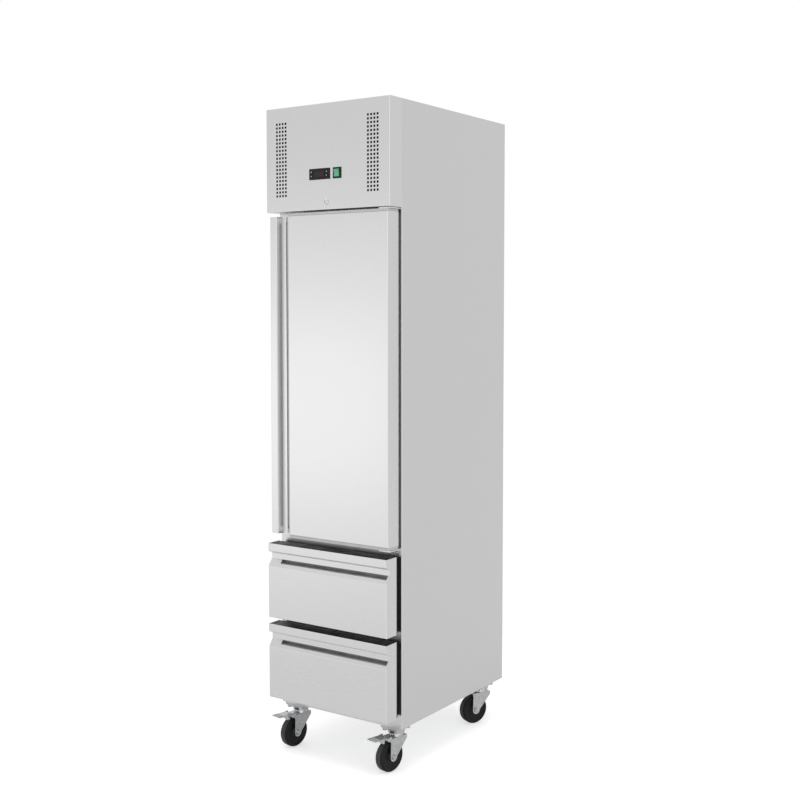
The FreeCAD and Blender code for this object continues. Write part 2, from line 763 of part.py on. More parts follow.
def lock_housing():
    """Lock barrel with its front flange."""
    flange = rod(LOCK_FLANGE_RADIUS, lock_point(-LOCK_FLANGE), lock_point(0))
    rim = edges_on(flange, lambda p: near(p.y, FASCIA_FRONT - LOCK_FLANGE))
    flange = flange.makeFillet(LOCK_FLANGE / 2, rim)
    barrel = rod(LOCK_BARREL_RADIUS, lock_point(0), lock_point(LOCK_BARREL - RUN_GAP))
    bore = rod(LOCK_PLUG_RADIUS + SHAFT_GAP, lock_point(-LOCK_FLANGE), lock_point(LOCK_BARREL))
    return fuse([flange, barrel]).cut(bore)


def lock_plug():
    """Turning plug with a keyhole, and the cam on its inner end."""
    front = -LOCK_FLANGE - LOCK_PLUG_PROUD
    plug = rod(LOCK_PLUG_RADIUS, lock_point(front), lock_point(LOCK_BARREL))
    keyhole_depth = (FASCIA_FRONT + front, FASCIA_FRONT + front + KEYHOLE_DEPTH)
    keyhole = box(centred(LOCK_X, KEYHOLE_WIDTH), keyhole_depth, centred(LOCK_Z, KEYHOLE_HEIGHT))
    cam_depth = (CAM_FRONT, CAM_FRONT + CAM_THICKNESS)
    bar = box((LOCK_X - CAM_LENGTH + CAM_WIDTH / 2, LOCK_X), cam_depth, centred(LOCK_Z, CAM_WIDTH))
    sweep = AXIS_Y * CAM_THICKNESS
    hub = rod(CAM_WIDTH / 2, lock_point(LOCK_BARREL), lock_point(LOCK_BARREL) + sweep)
    tip_start = lock_point(LOCK_BARREL) - AXIS_X * (CAM_LENGTH - CAM_WIDTH / 2)
    tip = rod(CAM_WIDTH / 2, tip_start, tip_start + sweep)
    return plug.cut(keyhole), fuse([bar, hub, tip])


# Door and drawer fronts with the folded handle


class HookFront:
    """Insulated front whose free edge is folded into a handle.

    Places are given by t from the free edge, d back from the face and s along the handle.
    """

    def __init__(self, place, height, thickness, length, open_edge, ends):
        self.place = place
        self.height = height
        self.thickness = thickness
        self.length = length
        self.open_edge = open_edge
        self.ends = ends

    def block(self, t, d, s):
        """Box between (low, high) pairs in the front's own directions."""
        first = self.place(t[0], d[0], s[0])
        last = self.place(t[1], d[1], s[1])
        low = Vector(min(first.x, last.x), min(first.y, last.y), min(first.z, last.z))
        high = Vector(max(first.x, last.x), max(first.y, last.y), max(first.z, last.z))
        return box((low.x, high.x), (low.y, high.y), (low.z, high.z))

    def outline(self, depth, s):
        """Section of the front through the handle, as a closed wire."""
        points = [
            (0, 0),
            (LIP, 0),
            (NOTCH_START, NOTCH_DEPTH),
            (NOTCH_END, NOTCH_DEPTH),
            (SLOPE_END, 0),
            (self.height, 0),
            (self.height, depth),
            (0, depth),
        ]
        corners = [self.place(t, d, s) for t, d in points]
        return Part.makePolygon(corners + [corners[0]])

    def pocket(self, margin):
        """Finger pocket behind the handle's wall, with the slot that leads into it."""
        along = (self.ends[0] - margin, self.length - self.ends[1] + margin)
        bottom = NOTCH_END + SLOT_HEIGHT + margin
        inner_front = NOTCH_DEPTH + POCKET_WALL - margin
        depth = (inner_front, POCKET_BACK + margin)
        rise = self.block((NOTCH_END - POCKET_RISE - margin, bottom), depth, along)
        slot = self.block((NOTCH_END, bottom), (0, POCKET_BACK + margin), along)
        return rise.fuse(slot)

    def core(self):
        """Foam that fills the folded skin."""
        inner = self.outline(self.thickness + SHEET, SHEET).makeOffset2D(-SHEET, 2)
        sweep = self.place(0, 0, self.length - SHEET) - self.place(0, 0, SHEET)
        return Part.Face(inner).extrude(sweep).cut(self.pocket(SHEET))

    def skin(self):
        """Folded sheet around the core, open at the back and perhaps along its free edge."""
        sweep = self.place(0, 0, self.length) - self.place(0, 0, 0)
        solid = Part.Face(self.outline(self.thickness, 0)).extrude(sweep)
        face = self.place(0, 0, 0).y
        lip = [self.place(LIP, 0, 0), self.place(LIP, 0, self.length)]
        on_lip = edges_on(solid, lambda p: any(p.isEqual(end, 1e-4) for end in lip))
        on_face = [
            edge
            for edge in edges_on(solid, lambda p: near(p.y, face))
            if not any(edge.isSame(other) for other in on_lip)
        ]
        solid = solid.makeFillet(LIP_ROUND, on_lip)
        kept = [edge for edge in solid.Edges if any(same_line(edge, other) for other in on_face)]
        solid = solid.makeFillet(EDGE_ROUND, kept)
        solid = solid.cut(self.pocket(0)).cut(self.core())
        if self.open_edge:
            along = (SHEET, self.length - SHEET)
            solid = solid.cut(self.block((0, SHEET), (SHEET, self.thickness), along))
        return solid


def same_line(edge, other):
    """Whether two edges cover the same straight line between the same ends."""
    ends = [vertex.Point for vertex in edge.Vertexes]
    wanted = [vertex.Point for vertex in other.Vertexes]
    return len(ends) == 2 and all(any(p.isEqual(q, 1e-4) for q in wanted) for p in ends)


def gasket(x, z, front):
    """Magnetic seal: a broad base strip and a narrower bellows that meets the body."""
    back = BODY_FRONT - RUN_GAP
    base = ring(x, z, GASKET_WIDTH, (front, front + GASKET_BASE))
    inset_x = (x[0] + GASKET_WAIST, x[1] - GASKET_WAIST)
    inset_z = (z[0] + GASKET_WAIST, z[1] - GASKET_WAIST)
    waist = ring(inset_x, inset_z, GASKET_WIDTH - 2 * GASKET_WAIST, (front, back))
    lip = ring(x, z, GASKET_WIDTH, (back - GASKET_BASE, back))
    return fuse([base, waist, lip])


def door_front():
    """The door's folded front, standing between its end caps."""
    bottom = DOOR_BOTTOM + DOOR_BOTTOM_CAP
    length = DOOR_HEIGHT - DOOR_BOTTOM_CAP - DOOR_TOP_CAP

    def place(t, d, s):
        return Vector(DOOR_LEFT + t, DOOR_FRONT + d, bottom + s)

    ends = (POCKET_END, POCKET_END)
    return HookFront(place, DOOR_WIDTH, DOOR_THICKNESS, length, False, ends)


def hinge_bores(radius):
    """Bores for the hinge bosses at the top and bottom of the door."""
    axis = Vector(PIVOT_X, PIVOT_Y, 0)
    top_end = DOOR_TOP - HINGE_PIN_REACH - HINGE_CLEARANCE
    top = rod(radius, axis + AXIS_Z * top_end, axis + AXIS_Z * DOOR_TOP)
    bottom_end = DOOR_BOTTOM + HINGE_PIN_REACH + HINGE_CLEARANCE
    bottom = rod(radius, axis + AXIS_Z * DOOR_BOTTOM, axis + AXIS_Z * bottom_end)
    return top, bottom


def door_lock_pocket():
    """Pocket in the top of the door for the lock cam."""
    return cam_slot((LOCK_Z - CAM_LENGTH - CAM_CLEARANCE, DOOR_TOP))


def door_liner_box(margin, y):
    """Plate inside the door's rim, less a margin."""
    x = (DOOR_LEFT + SHEET + margin, DOOR_RIGHT - SHEET - margin)
    z = (
        DOOR_BOTTOM + DOOR_BOTTOM_CAP + SHEET + margin,
        DOOR_TOP - DOOR_TOP_CAP - SHEET - margin,
    )
    return box(x, y, z)


def door_parts():
    """Skin, core, liner and end caps of the door."""
    front = door_front()
    bosses = Part.makeCompound(hinge_bores(HINGE_BOSS_RADIUS + SHAFT_GAP))
    pocket = door_lock_pocket()
    liner_plate = door_liner_box(0, (DOOR_BACK - DOOR_LINER_THICKNESS, DOOR_BACK))
    rise_margin = GASKET_INSET + GASKET_WIDTH + DOOR_LINER_MARGIN
    rise = door_liner_box(rise_margin, (DOOR_BACK, DOOR_BACK + DOOR_LINER_RISE))
    rise_edges = edges_on(rise, lambda p: near(p.y, DOOR_BACK + DOOR_LINER_RISE))
    rise = rise.makeFillet(DOOR_LINER_RISE / 2, rise_edges)
    liner = fuse([liner_plate, rise])
    skin = front.skin().cut(bosses).cut(pocket)
    core = front.core().cut(bosses).cut(pocket).cut(liner_plate)
    return skin, core, liner, door_caps()


def door_caps():
    """Moulded end caps, each with the boss that the hinge pin turns in."""
    x = (DOOR_LEFT + SLOPE_END, DOOR_RIGHT - CAP_INSET)
    y = (DOOR_FRONT + CAP_INSET, DOOR_BACK)
    top_plate = box(x, y, (DOOR_TOP - DOOR_TOP_CAP, DOOR_TOP)).cut(door_lock_pocket())
    bottom_plate = box(x, y, (DOOR_BOTTOM, DOOR_BOTTOM + DOOR_BOTTOM_CAP))
    caps = []
    bores = hinge_bores(HINGE_PIN_RADIUS + SHAFT_GAP)
    for plate, boss, bore in zip((top_plate, bottom_plate), hinge_bores(HINGE_BOSS_RADIUS), bores):
        caps.append(fuse([plate, boss]).cut(bore))
    return caps


def door_gasket():
    """Seal on the back of the door."""
    x = centred(0, OVERALL_WIDTH - 2 * DOOR_GASKET_SIDE)
    z = (DOOR_BOTTOM + GASKET_INSET, DOOR_TOP - GASKET_INSET)
    return gasket(x, z, DOOR_BACK)


def hinge_bracket(plate_z, leaf_z, pin_z):
    """Bracket on the body with the pin that carries the door."""
    x = (DOOR_RIGHT - HINGE_REACH_IN, DOOR_RIGHT)
    plate = box(x, (PIVOT_Y - HINGE_NOSE, BODY_FRONT), plate_z)
    leaf = box(x, (BODY_FRONT - HINGE_LEAF, BODY_FRONT), leaf_z)
    pin = rod(HINGE_PIN_RADIUS, Vector(PIVOT_X, PIVOT_Y, pin_z[0]), Vector(PIVOT_X, PIVOT_Y, pin_z[1]))
    return fuse([plate, leaf, pin])


def hinge_brackets():
    """Upper and lower hinge brackets."""
    top = DOOR_TOP + HINGE_CLEARANCE
    upper = hinge_bracket(
        (top, top + HINGE_PLATE),
        (top, top + HINGE_LEAF_HEIGHT),
        (DOOR_TOP - HINGE_PIN_REACH, top),
    )
    bottom = DOOR_BOTTOM - HINGE_CLEARANCE
    lower = hinge_bracket(
        (bottom - HINGE_PLATE, bottom),
        (bottom - DOOR_DRAWER_GAP + HINGE_CLEARANCE, bottom),
        (bottom, DOOR_BOTTOM + HINGE_PIN_REACH),
    )
    return upper, lower


# Drawers


def drawer_front(bottom):
    """One drawer's folded front."""
    top = bottom + DRAWER_HEIGHT

    def place(t, d, s):
        return Vector(DRAWER_LEFT + s, FRONT_Y + d, top - t)

    ends = (DRAWER_POCKET_LEFT, DRAWER_POCKET_RIGHT)
    return HookFront(place, DRAWER_HEIGHT, DRAWER_THICKNESS, DRAWER_WIDTH, True, ends)


def drawer_back(bottom):
    """Moulded back of a drawer front with the foam that fills its skin."""
    x = (DRAWER_LEFT + DRAWER_FRAME_INSET, -DRAWER_LEFT - DRAWER_FRAME_INSET)
    z = (bottom + DRAWER_FRAME_INSET, bottom + DRAWER_HEIGHT - DRAWER_FRAME_INSET)
    frame = box(x, (DRAWER_FRAME_FRONT, DRAWER_FRAME_BACK), z)
    return fuse([drawer_front(bottom).core(), frame])


def drawer_gasket(bottom):
    """Seal on the back of a drawer front."""
    x = (DRAWER_LEFT + GASKET_INSET, -DRAWER_LEFT - GASKET_INSET)
    z = (bottom + GASKET_INSET, bottom + DRAWER_HEIGHT - GASKET_INSET)
    return gasket(x, z, DRAWER_FRAME_BACK)


def box_bottom(bottom):
    """Underside of a drawer's box."""
    return bottom + SEAL_SEAT + BOX_LIFT


def drawer_box(bottom):
    """Open steel box behind a drawer front."""
    half = INNER_HALF - RAIL_SPACE
    y = (DRAWER_FRAME_BACK, DRAWER_FRAME_BACK + BOX_LENGTH)
    z = (box_bottom(bottom), box_bottom(bottom) + BOX_HEIGHT)
    outer = box((-half, half), y, z)
    inside = box((-half + SHEET, half - SHEET), (y[0] + SHEET, y[1] - SHEET), (z[0] + SHEET, z[1]))
    return outer.cut(inside)


def channel(x_back, x_lips, height, z):
    """Folded channel with its back at one X and its lips reaching to another."""
    y = (RAIL_FRONT, RAIL_FRONT + RAIL_LENGTH)
    inwards = 1 if x_lips > x_back else -1
    outer = box(tuple(sorted((x_back, x_lips))), y, centred(z, height))
    hollow_x = tuple(sorted((x_back + inwards * RAIL_SHEET, x_lips)))
    return outer.cut(box(hollow_x, y, centred(z, height - 2 * RAIL_SHEET)))


def rail_members(bottom):
    """Fixed, middle and drawer rails of one drawer, a left and right pair of each."""
    z = box_bottom(bottom) + RAIL_LIFT
    step = RAIL_SHEET + RAIL_GAP
    middle_height = RAIL_HEIGHT - 2 * step
    fixed = channel(INNER_HALF, INNER_HALF - RAIL_DEPTH, RAIL_HEIGHT, z)
    middle = channel(INNER_HALF - step, INNER_HALF - RAIL_DEPTH, middle_height, z)
    box_side = INNER_HALF - RAIL_SPACE
    drawer = channel(box_side, INNER_HALF - 2 * step, middle_height - 2 * step, z)
    return [(right, mirrored(right)) for right in (fixed, middle, drawer)]


# Castors


def castor_plate(castor):
    """Top plate with the upper bearing cup and the kingpin, and its four bolts."""
    plate = box(
        centred(castor.x, CASTOR_PLATE_WIDTH),
        centred(castor.y, CASTOR_PLATE_LENGTH),
        (PLATE_BOTTOM, PLATE_TOP),
    )
    upright = [edge for edge in plate.Edges if near(edge.Length, CASTOR_PLATE)]
    plate = plate.makeFillet(CASTOR_PLATE_ROUND, upright)

    def at(z):
        return castor + AXIS_Z * z

    cup = rod(UPPER_CUP_RADIUS, at(UPPER_CUP_BOTTOM), at(PLATE_BOTTOM))
    cup = cup.makeFillet(EDGE_ROUND, edges_on(cup, lambda p: near(p.z, UPPER_CUP_BOTTOM)))
    head_top = FORK_CROWN - CUP_GAP
    kingpin = rod(KINGPIN_RADIUS, at(head_top), at(UPPER_CUP_BOTTOM))
    head = rod(KINGPIN_HEAD_RADIUS, at(head_top - KINGPIN_HEAD), at(head_top))
    holes = []
    bolts = []
    for place in bolt_places(castor):
        low = place + AXIS_Z * PLATE_BOTTOM
        high = place + AXIS_Z * BODY_BOTTOM
        holes.append(rod(BOLT_RADIUS + BOLT_GAP, low, place + AXIS_Z * PLATE_TOP))
        bolt_head = hexagon(BOLT_HEAD_RADIUS, low - AXIS_Z * BOLT_HEAD, low)
        bolts.append(fuse([rod(BOLT_RADIUS, low, high), bolt_head]))
    plate = fuse([plate, cup, kingpin, head]).cut(Part.makeCompound(holes))
    return [plate] + bolts


def axle_point(castor):
    """Middle of a castor's wheel."""
    return castor + Vector(0, -CASTOR_TRAIL, WHEEL_RADIUS)


def pedal_pivot(castor):
    """Middle of the brake pedal's pin, ahead of the crown and above the wheel."""
    return castor + Vector(0, -PEDAL_PIVOT_FORWARD, FORK_CROWN + PEDAL_PIVOT_ABOVE)


FORK_INSIDE = WHEEL_WIDTH / 2 + WHEEL_SIDE_GAP
FORK_OUTSIDE = FORK_INSIDE + FORK_SHEET


def fork_leg(castor, braked):
    """Right leg of a fork, tapering from the crown to the axle."""
    axle = axle_point(castor)
    start = Vector(castor.x + FORK_INSIDE, 0, 0)

    def corner(y, z):
        return start + Vector(0, castor.y + y, z)

    outline = [
        corner(FORK_BACK, CROWN_TOP),
        corner(-FORK_FRONT, CROWN_TOP),
        corner(-CASTOR_TRAIL - FORK_EYE, WHEEL_RADIUS),
        corner(-CASTOR_TRAIL + FORK_EYE, WHEEL_RADIUS),
        corner(FORK_BACK, FORK_CROWN - WHEEL_CLEAR),
    ]
    sweep = AXIS_X * FORK_SHEET
    inner_axle = Vector(start.x, axle.y, axle.z)
    pieces = [prism(outline, sweep), rod(FORK_EYE, inner_axle, inner_axle + sweep)]
    if braked:
        pivot = pedal_pivot(castor)
        inner_pivot = Vector(start.x, pivot.y, pivot.z)
        pieces.append(rod(PEDAL_EYE, inner_pivot, inner_pivot + sweep))
        ear_y = (pivot.y, castor.y - FORK_FRONT + FORK_SHEET)
        pieces.append(box((start.x, start.x + FORK_SHEET), ear_y, centred(pivot.z, 2 * PEDAL_EYE)))
    leg = fuse(pieces)
    return leg.cut(rod(AXLE_RADIUS + SHAFT_GAP, inner_axle, inner_axle + sweep))


def castor_fork(castor, braked):
    """Swivelling fork with the lower bearing cup, and the axle bolt through it."""
    to_castor = Vector(castor.x, 0, 0)
    right = fork_leg(castor, braked)
    left = right.translated(-to_castor).mirror(Vector(0, 0, 0), AXIS_X).translated(to_castor)
    crown_y = (castor.y - FORK_FRONT, castor.y + FORK_BACK)
    crown = box(centred(castor.x, 2 * FORK_OUTSIDE), crown_y, (FORK_CROWN, CROWN_TOP))
    cup = rod(LOWER_CUP_RADIUS, castor + AXIS_Z * CROWN_TOP, castor + AXIS_Z * LOWER_CUP_TOP)
    bore = rod(KINGPIN_RADIUS + SHAFT_GAP, castor + AXIS_Z * FORK_CROWN, castor + AXIS_Z * LOWER_CUP_TOP)
    pieces = [right, left, crown, cup]
    if braked:
        pivot = pedal_pivot(castor)
        reach = AXIS_X * FORK_OUTSIDE
        pieces.append(rod(PEDAL_PIN_RADIUS, pivot - reach, pivot + reach))
    fork = fuse(pieces).cut(bore)
    axle = axle_point(castor)
    shank = rod(AXLE_RADIUS, axle - AXIS_X * FORK_OUTSIDE, axle + AXIS_X * FORK_OUTSIDE)
    heads = []
    for side in (-1, 1):
        inner = axle + AXIS_X * (side * FORK_OUTSIDE)
        heads.append(hexagon(AXLE_HEAD_RADIUS, inner, inner + AXIS_X * (side * AXLE_HEAD)))
    return fork, fuse([shank] + heads)


def castor_wheel(castor):
    """Solid wheel with rounded tread, dished faces and a hub on the axle."""
    axle = axle_point(castor)
    half = WHEEL_WIDTH / 2
    hub_half = FORK_INSIDE - HUB_SIDE_GAP
    bore = AXLE_RADIUS + SHAFT_GAP
    dish = half - WHEEL_DISH
    rim = WHEEL_RADIUS - WHEEL_RIM
    section = [
        (-half, rim),
        (-half, WHEEL_RADIUS - WHEEL_SHOULDER),
        (-half + WHEEL_SHOULDER, WHEEL_RADIUS),
        (half - WHEEL_SHOULDER, WHEEL_RADIUS),
        (half, WHEEL_RADIUS - WHEEL_SHOULDER),
        (half, rim),
        (dish, rim - WHEEL_DISH),
        (dish, WHEEL_HUB_RADIUS),
        (hub_half, WHEEL_HUB_RADIUS),
        (hub_half, bore),
        (-hub_half, bore),
        (-hub_half, WHEEL_HUB_RADIUS),
        (-dish, WHEEL_HUB_RADIUS),
        (-dish, rim - WHEEL_DISH),
    ]
    corners = [axle + Vector(along, 0, out) for along, out in section]
    face = Part.Face(Part.makePolygon(corners + [corners[0]]))
    return face.revolve(axle, AXIS_X, 360)


def brake_pedal(castor):
    """Brake pedal with its eye, ribbed tread plate and the shoe above the wheel."""
    pivot = pedal_pivot(castor)
    half = FORK_INSIDE - RUN_GAP
    left = pivot - AXIS_X * half
    sweep = AXIS_X * (2 * half)
    eye = rod(PEDAL_EYE, left, left + sweep)
    bore = rod(PEDAL_PIN_RADIUS + SHAFT_GAP, left, left + sweep)
    top = PEDAL_EYE
    outline = [
        left + Vector(0, 0, top),
        left + Vector(0, -PEDAL_REACH, top + PEDAL_RISE),
        left + Vector(0, -PEDAL_REACH, top + PEDAL_RISE - PEDAL_SHEET),
        left + Vector(0, 0, top - PEDAL_SHEET),
    ]
    pieces = [eye, prism(outline, sweep)]
    slope = PEDAL_RISE / PEDAL_REACH
    for rib in range(PEDAL_RIBS):
        y = -PEDAL_REACH + (2 * rib + 1) * 2 * PEDAL_RIB
        middle = left + Vector(0, y, top - slope * y)
        start = middle - AXIS_Y * PEDAL_RIB
        corners = [
            start - AXIS_Z * PEDAL_RIB,
            middle + AXIS_Z * PEDAL_RIB,
            middle + Vector(0, PEDAL_RIB, -PEDAL_RIB),
        ]
        pieces.append(prism(corners, sweep))
    shoe_y = (pivot.y - SHOE_FORWARD - SHOE_LENGTH, pivot.y - SHOE_FORWARD)
    shoe_x = centred(pivot.x, WHEEL_WIDTH - 2 * WHEEL_SHOULDER)
    pieces.append(box(shoe_x, shoe_y, (pivot.z - SHOE_DROP, pivot.z + top - PEDAL_SHEET / 2)))
    return fuse(pieces).cut(bore)


# Refrigeration unit


def finned_coil(x, y, z):
    """Finned block of a heat exchanger between its end plates, with the tube bends outside."""
    core = box(x, (y[0] + FIN_REACH, y[1] - FIN_REACH), (z[0] + FIN_REACH, z[1] - FIN_REACH))
    count = int((x[1] - x[0] - FIN) / FIN_PITCH) + 1
    spacing = (x[1] - x[0] - FIN) / (count - 1)
    fins = []
    for fin in range(count):
        fin_x = x[0] + fin * spacing
        fins.append(box((fin_x, fin_x + FIN), y, z))
    block = fuse([core] + fins)
    bends = []
    pitch = 4 * BEND_RADIUS
    bend_count = int((z[1] - z[0] - 2 * FIN_REACH) / pitch)
    middle_y = (y[0] + y[1]) / 2
    start = (z[0] + z[1]) / 2 - (bend_count - 1) * pitch / 2
    for bend in range(bend_count):
        for end, turn in ((x[0], 180), (x[1], 0)):
            torus = Part.makeTorus(BEND_RADIUS, COIL_TUBE, Vector(0, 0, 0), AXIS_Z, -180, 180, 180)
            torus.rotate(Vector(0, 0, 0), AXIS_X, 90)
            torus.rotate(Vector(0, 0, 0), AXIS_Y, 90 + turn)
            torus.translate(Vector(end, middle_y, start + bend * pitch))
            bends.append(torus)
    return [block] + bends


def condenser_place():
    """Corner pairs of the condenser on the deck."""
    x = -HALF_WIDTH + CONDENSER_LEFT
    y = BODY_FRONT + CONDENSER_SETBACK
    return (x, x + CONDENSER_WIDTH), (y, y + CONDENSER_DEPTH), (DECK_TOP, DECK_TOP + CONDENSER_HEIGHT)


def condenser_fan_axis():
    """Middle of the condenser fan in the plane of the shroud's face."""
    x, y, z = condenser_place()
    return Vector(sum(x) / 2, y[1] + SHROUD_DEPTH, sum(z) / 2)


def condenser_shroud():
    """Duct behind the condenser with a round mouth for the fan."""
    x, y, z = condenser_place()
    axis = condenser_fan_axis()
    mouth = CONDENSER_FAN_RADIUS + FAN_TIP_GAP
    outer = box(x, (y[1], axis.y), z)
    inside = box((x[0] + SHEET, x[1] - SHEET), (y[1], axis.y - SHEET), (z[0] + SHEET, z[1] - SHEET))
    collar = rod(mouth + SHEET, axis - AXIS_Y * SHEET, axis + AXIS_Y * FAN_RING)
    hole = rod(mouth, axis - AXIS_Y * SHROUD_DEPTH, axis + AXIS_Y * FAN_RING)
    return fuse([outer.cut(inside), collar]).cut(hole)


def axial_fan(middle, radius):
    """Pressed fan: a hub and pitched blades about the Y axis."""
    half = AXIS_Y * (FAN_HUB / 2)
    pieces = [rod(FAN_HUB_RADIUS, middle - half, middle + half)]
    rim = rod(radius, middle - half, middle + half)
    for blade in range(FAN_BLADES):
        plate = box((0, radius), centred(0, FAN_BLADE), centred(0, FAN_CHORD))
        plate.rotate(Vector(0, 0, 0), AXIS_X, FAN_PITCH_ANGLE + 90)
        plate.rotate(Vector(0, 0, 0), AXIS_Y, blade * 360 / FAN_BLADES)
        plate.translate(middle)
        pieces.append(plate.common(rim))
    bore = rod(MOTOR_SHAFT + SHAFT_GAP, middle - half, middle + half)
    return fuse(pieces).cut(bore)


def fan_motor(middle, arm_reach, face):
    """Fan motor on three arms whose feet stand on the fan's mounting face."""
    start = middle + AXIS_Y * (FAN_HUB / 2 + MOTOR_STANDOFF)
    end = start + AXIS_Y * MOTOR_LENGTH
    body = rod(MOTOR_RADIUS, start, end)
    body = body.makeFillet(EDGE_ROUND, edges_on(body, lambda p: near(p.y, end.y) or near(p.y, start.y)))
    shaft = rod(MOTOR_SHAFT, middle - AXIS_Y * (FAN_HUB / 2), start)
    pieces = [body, shaft]
    for arm in range(3):
        bar = box((0, arm_reach), (end.y - MOTOR_ARM, end.y), centred(0, MOTOR_ARM_WIDTH))
        foot = box((arm_reach - MOTOR_ARM, arm_reach), (face, end.y), centred(0, MOTOR_ARM_WIDTH))
        pair = bar.fuse(foot)
        pair.rotate(Vector(0, 0, 0), AXIS_Y, 30 + 120 * arm)
        pair.translate(Vector(middle.x, 0, middle.z))
        pieces.append(pair)
    return fuse(pieces)


def compressor_axis():
    """Foot of the compressor's axis on the deck."""
    return Vector(HALF_WIDTH - COMPRESSOR_FROM_RIGHT, REAR_Y - COMPRESSOR_FROM_REAR, DECK_TOP)


def discharge_place():
    """Top of the compressor's discharge stub."""
    top = GROMMET_HEIGHT + COMPRESSOR_FOOT + COMPRESSOR_HEIGHT + STUB
    return compressor_axis() + Vector(0, -COMPRESSOR_RADIUS / 2, top)


def suction_place():
    """Front end of the compressor's suction stub."""
    middle = GROMMET_HEIGHT + COMPRESSOR_FOOT + COMPRESSOR_HEIGHT / 2
    return compressor_axis() + Vector(-COMPRESSOR_RADIUS / 2, -COMPRESSOR_RADIUS - STUB, middle)


def compressor():
    """Welded shell with domed ends on a foot plate, with its stubs and terminal cover."""
    axis = compressor_axis()
    foot_bottom = DECK_TOP + GROMMET_HEIGHT
    low = foot_bottom + COMPRESSOR_FOOT
    high = low + COMPRESSOR_HEIGHT
    base = Vector(axis.x, axis.y, low)
    wall_low = base + Vector(COMPRESSOR_RADIUS, 0, COMPRESSOR_DOME)
    wall_high = base + Vector(COMPRESSOR_RADIUS, 0, COMPRESSOR_HEIGHT - COMPRESSOR_DOME)
    peak = base + AXIS_Z * COMPRESSOR_HEIGHT
    shoulder = math.sqrt(0.5)
    bulge_out = COMPRESSOR_RADIUS * shoulder
    bulge_up = COMPRESSOR_DOME * shoulder
    low_bulge = base + Vector(bulge_out, 0, COMPRESSOR_DOME - bulge_up)
    high_bulge = base + Vector(bulge_out, 0, COMPRESSOR_HEIGHT - COMPRESSOR_DOME + bulge_up)
    outline = Part.Wire(
        [
            Part.Arc(base, low_bulge, wall_low).toShape(),
            Part.LineSegment(wall_low, wall_high).toShape(),
            Part.Arc(wall_high, high_bulge, peak).toShape(),
            Part.LineSegment(peak, base).toShape(),
        ]
    )
    shell = Part.Face(outline).revolve(axis, AXIS_Z, 360)
    seam = Vector(axis.x, axis.y, (low + high) / 2)
    band = rod(COMPRESSOR_RADIUS + SHEET, seam - AXIS_Z * SHEET, seam + AXIS_Z * SHEET)
    foot = box(
        centred(axis.x, COMPRESSOR_FOOT_LENGTH),
        centred(axis.y, COMPRESSOR_FOOT_WIDTH),
        (foot_bottom, low),
    )
    skirt = rod(COMPRESSOR_RADIUS * shoulder, Vector(axis.x, axis.y, low), base + AXIS_Z * COMPRESSOR_DOME)
    top_end = discharge_place()
    top_stub = rod(DISCHARGE_RADIUS, top_end - AXIS_Z * (STUB + COMPRESSOR_DOME), top_end)
    side_stub = rod(SUCTION_RADIUS, suction_place(), suction_place() + AXIS_Y * COMPRESSOR_RADIUS)
    terminal = box(
        (axis.x - COMPRESSOR_RADIUS - TERMINAL_DEPTH / 2, axis.x - COMPRESSOR_RADIUS + TERMINAL_DEPTH / 2),
        centred(axis.y, TERMINAL_WIDTH),
        centred(seam.z, TERMINAL_HEIGHT),
    )
    solids = [fuse([shell, band, foot, skirt, top_stub, side_stub, terminal])]
    for x in (-1, 1):
        for y in (-1, 1):
            place = axis + Vector(
                x * (COMPRESSOR_FOOT_LENGTH / 2 - GROMMET_RADIUS),
                y * (COMPRESSOR_FOOT_WIDTH / 2 - GROMMET_RADIUS),
                0,
            )
            solids.append(rod(GROMMET_RADIUS, place, place + AXIS_Z * GROMMET_HEIGHT))
    return solids


def refrigerant_lines():
    """Discharge, liquid and suction lines, and the filter drier in the liquid line."""
    x, y, z = condenser_place()
    coil_y = sum(y) / 2
    discharge = discharge_place()
    over = Vector(discharge.x, discharge.y, z[1] + PIPE_BEND)
    front = Vector(discharge.x, coil_y, over.z)
    discharge_end = Vector(discharge.x, coil_y, DECK_TOP + CONDENSER_HEIGHT / 2)
    coil_in = Vector(x[1], coil_y, discharge_end.z)
    hot = pipe([discharge, over, front, discharge_end, coil_in], DISCHARGE_RADIUS, PIPE_BEND)
    low = discharge_end.z - 4 * BEND_RADIUS
    outlet = Vector(x[1], coil_y, low)
    drier_x = x[1] + 2 * PIPE_BEND
    turn = Vector(drier_x, coil_y, low)
    drier_start = Vector(drier_x, y[1] + 2 * PIPE_BEND, low)
    drier_end = drier_start + AXIS_Y * DRIER_LENGTH
    drop = drier_end + AXIS_Y * (2 * PIPE_BEND)
    liquid = pipe([outlet, turn, drier_start], LIQUID_RADIUS, PIPE_BEND)
    drier = rod(DRIER_RADIUS, drier_start, drier_end)
    drier = drier.makeFillet(DRIER_RADIUS / 2, drier.Edges[0:1] + drier.Edges[2:3])
    feed = pipe([drier_end, drop, Vector(drop.x, drop.y, DECK_TOP)], LIQUID_RADIUS, PIPE_BEND)
    suction = suction_place()
    foot = Vector(suction.x, suction.y - 2 * PIPE_BEND, suction.z)
    cold = pipe([suction, foot, Vector(foot.x, foot.y, DECK_TOP)], SUCTION_RADIUS, PIPE_BEND)
    return hot, liquid, drier, feed, cold


def inlet_x():
    """Middle of the power inlet across the rear."""
    return -HALF_WIDTH + ELECTRIC_FROM_LEFT + ELECTRIC_WIDTH / 2


def socket_height():
    """Height of the power inlet's socket."""
    return centred(DECK_TOP + INLET_LIFT + INLET_HEIGHT / 2, SOCKET_HEIGHT)


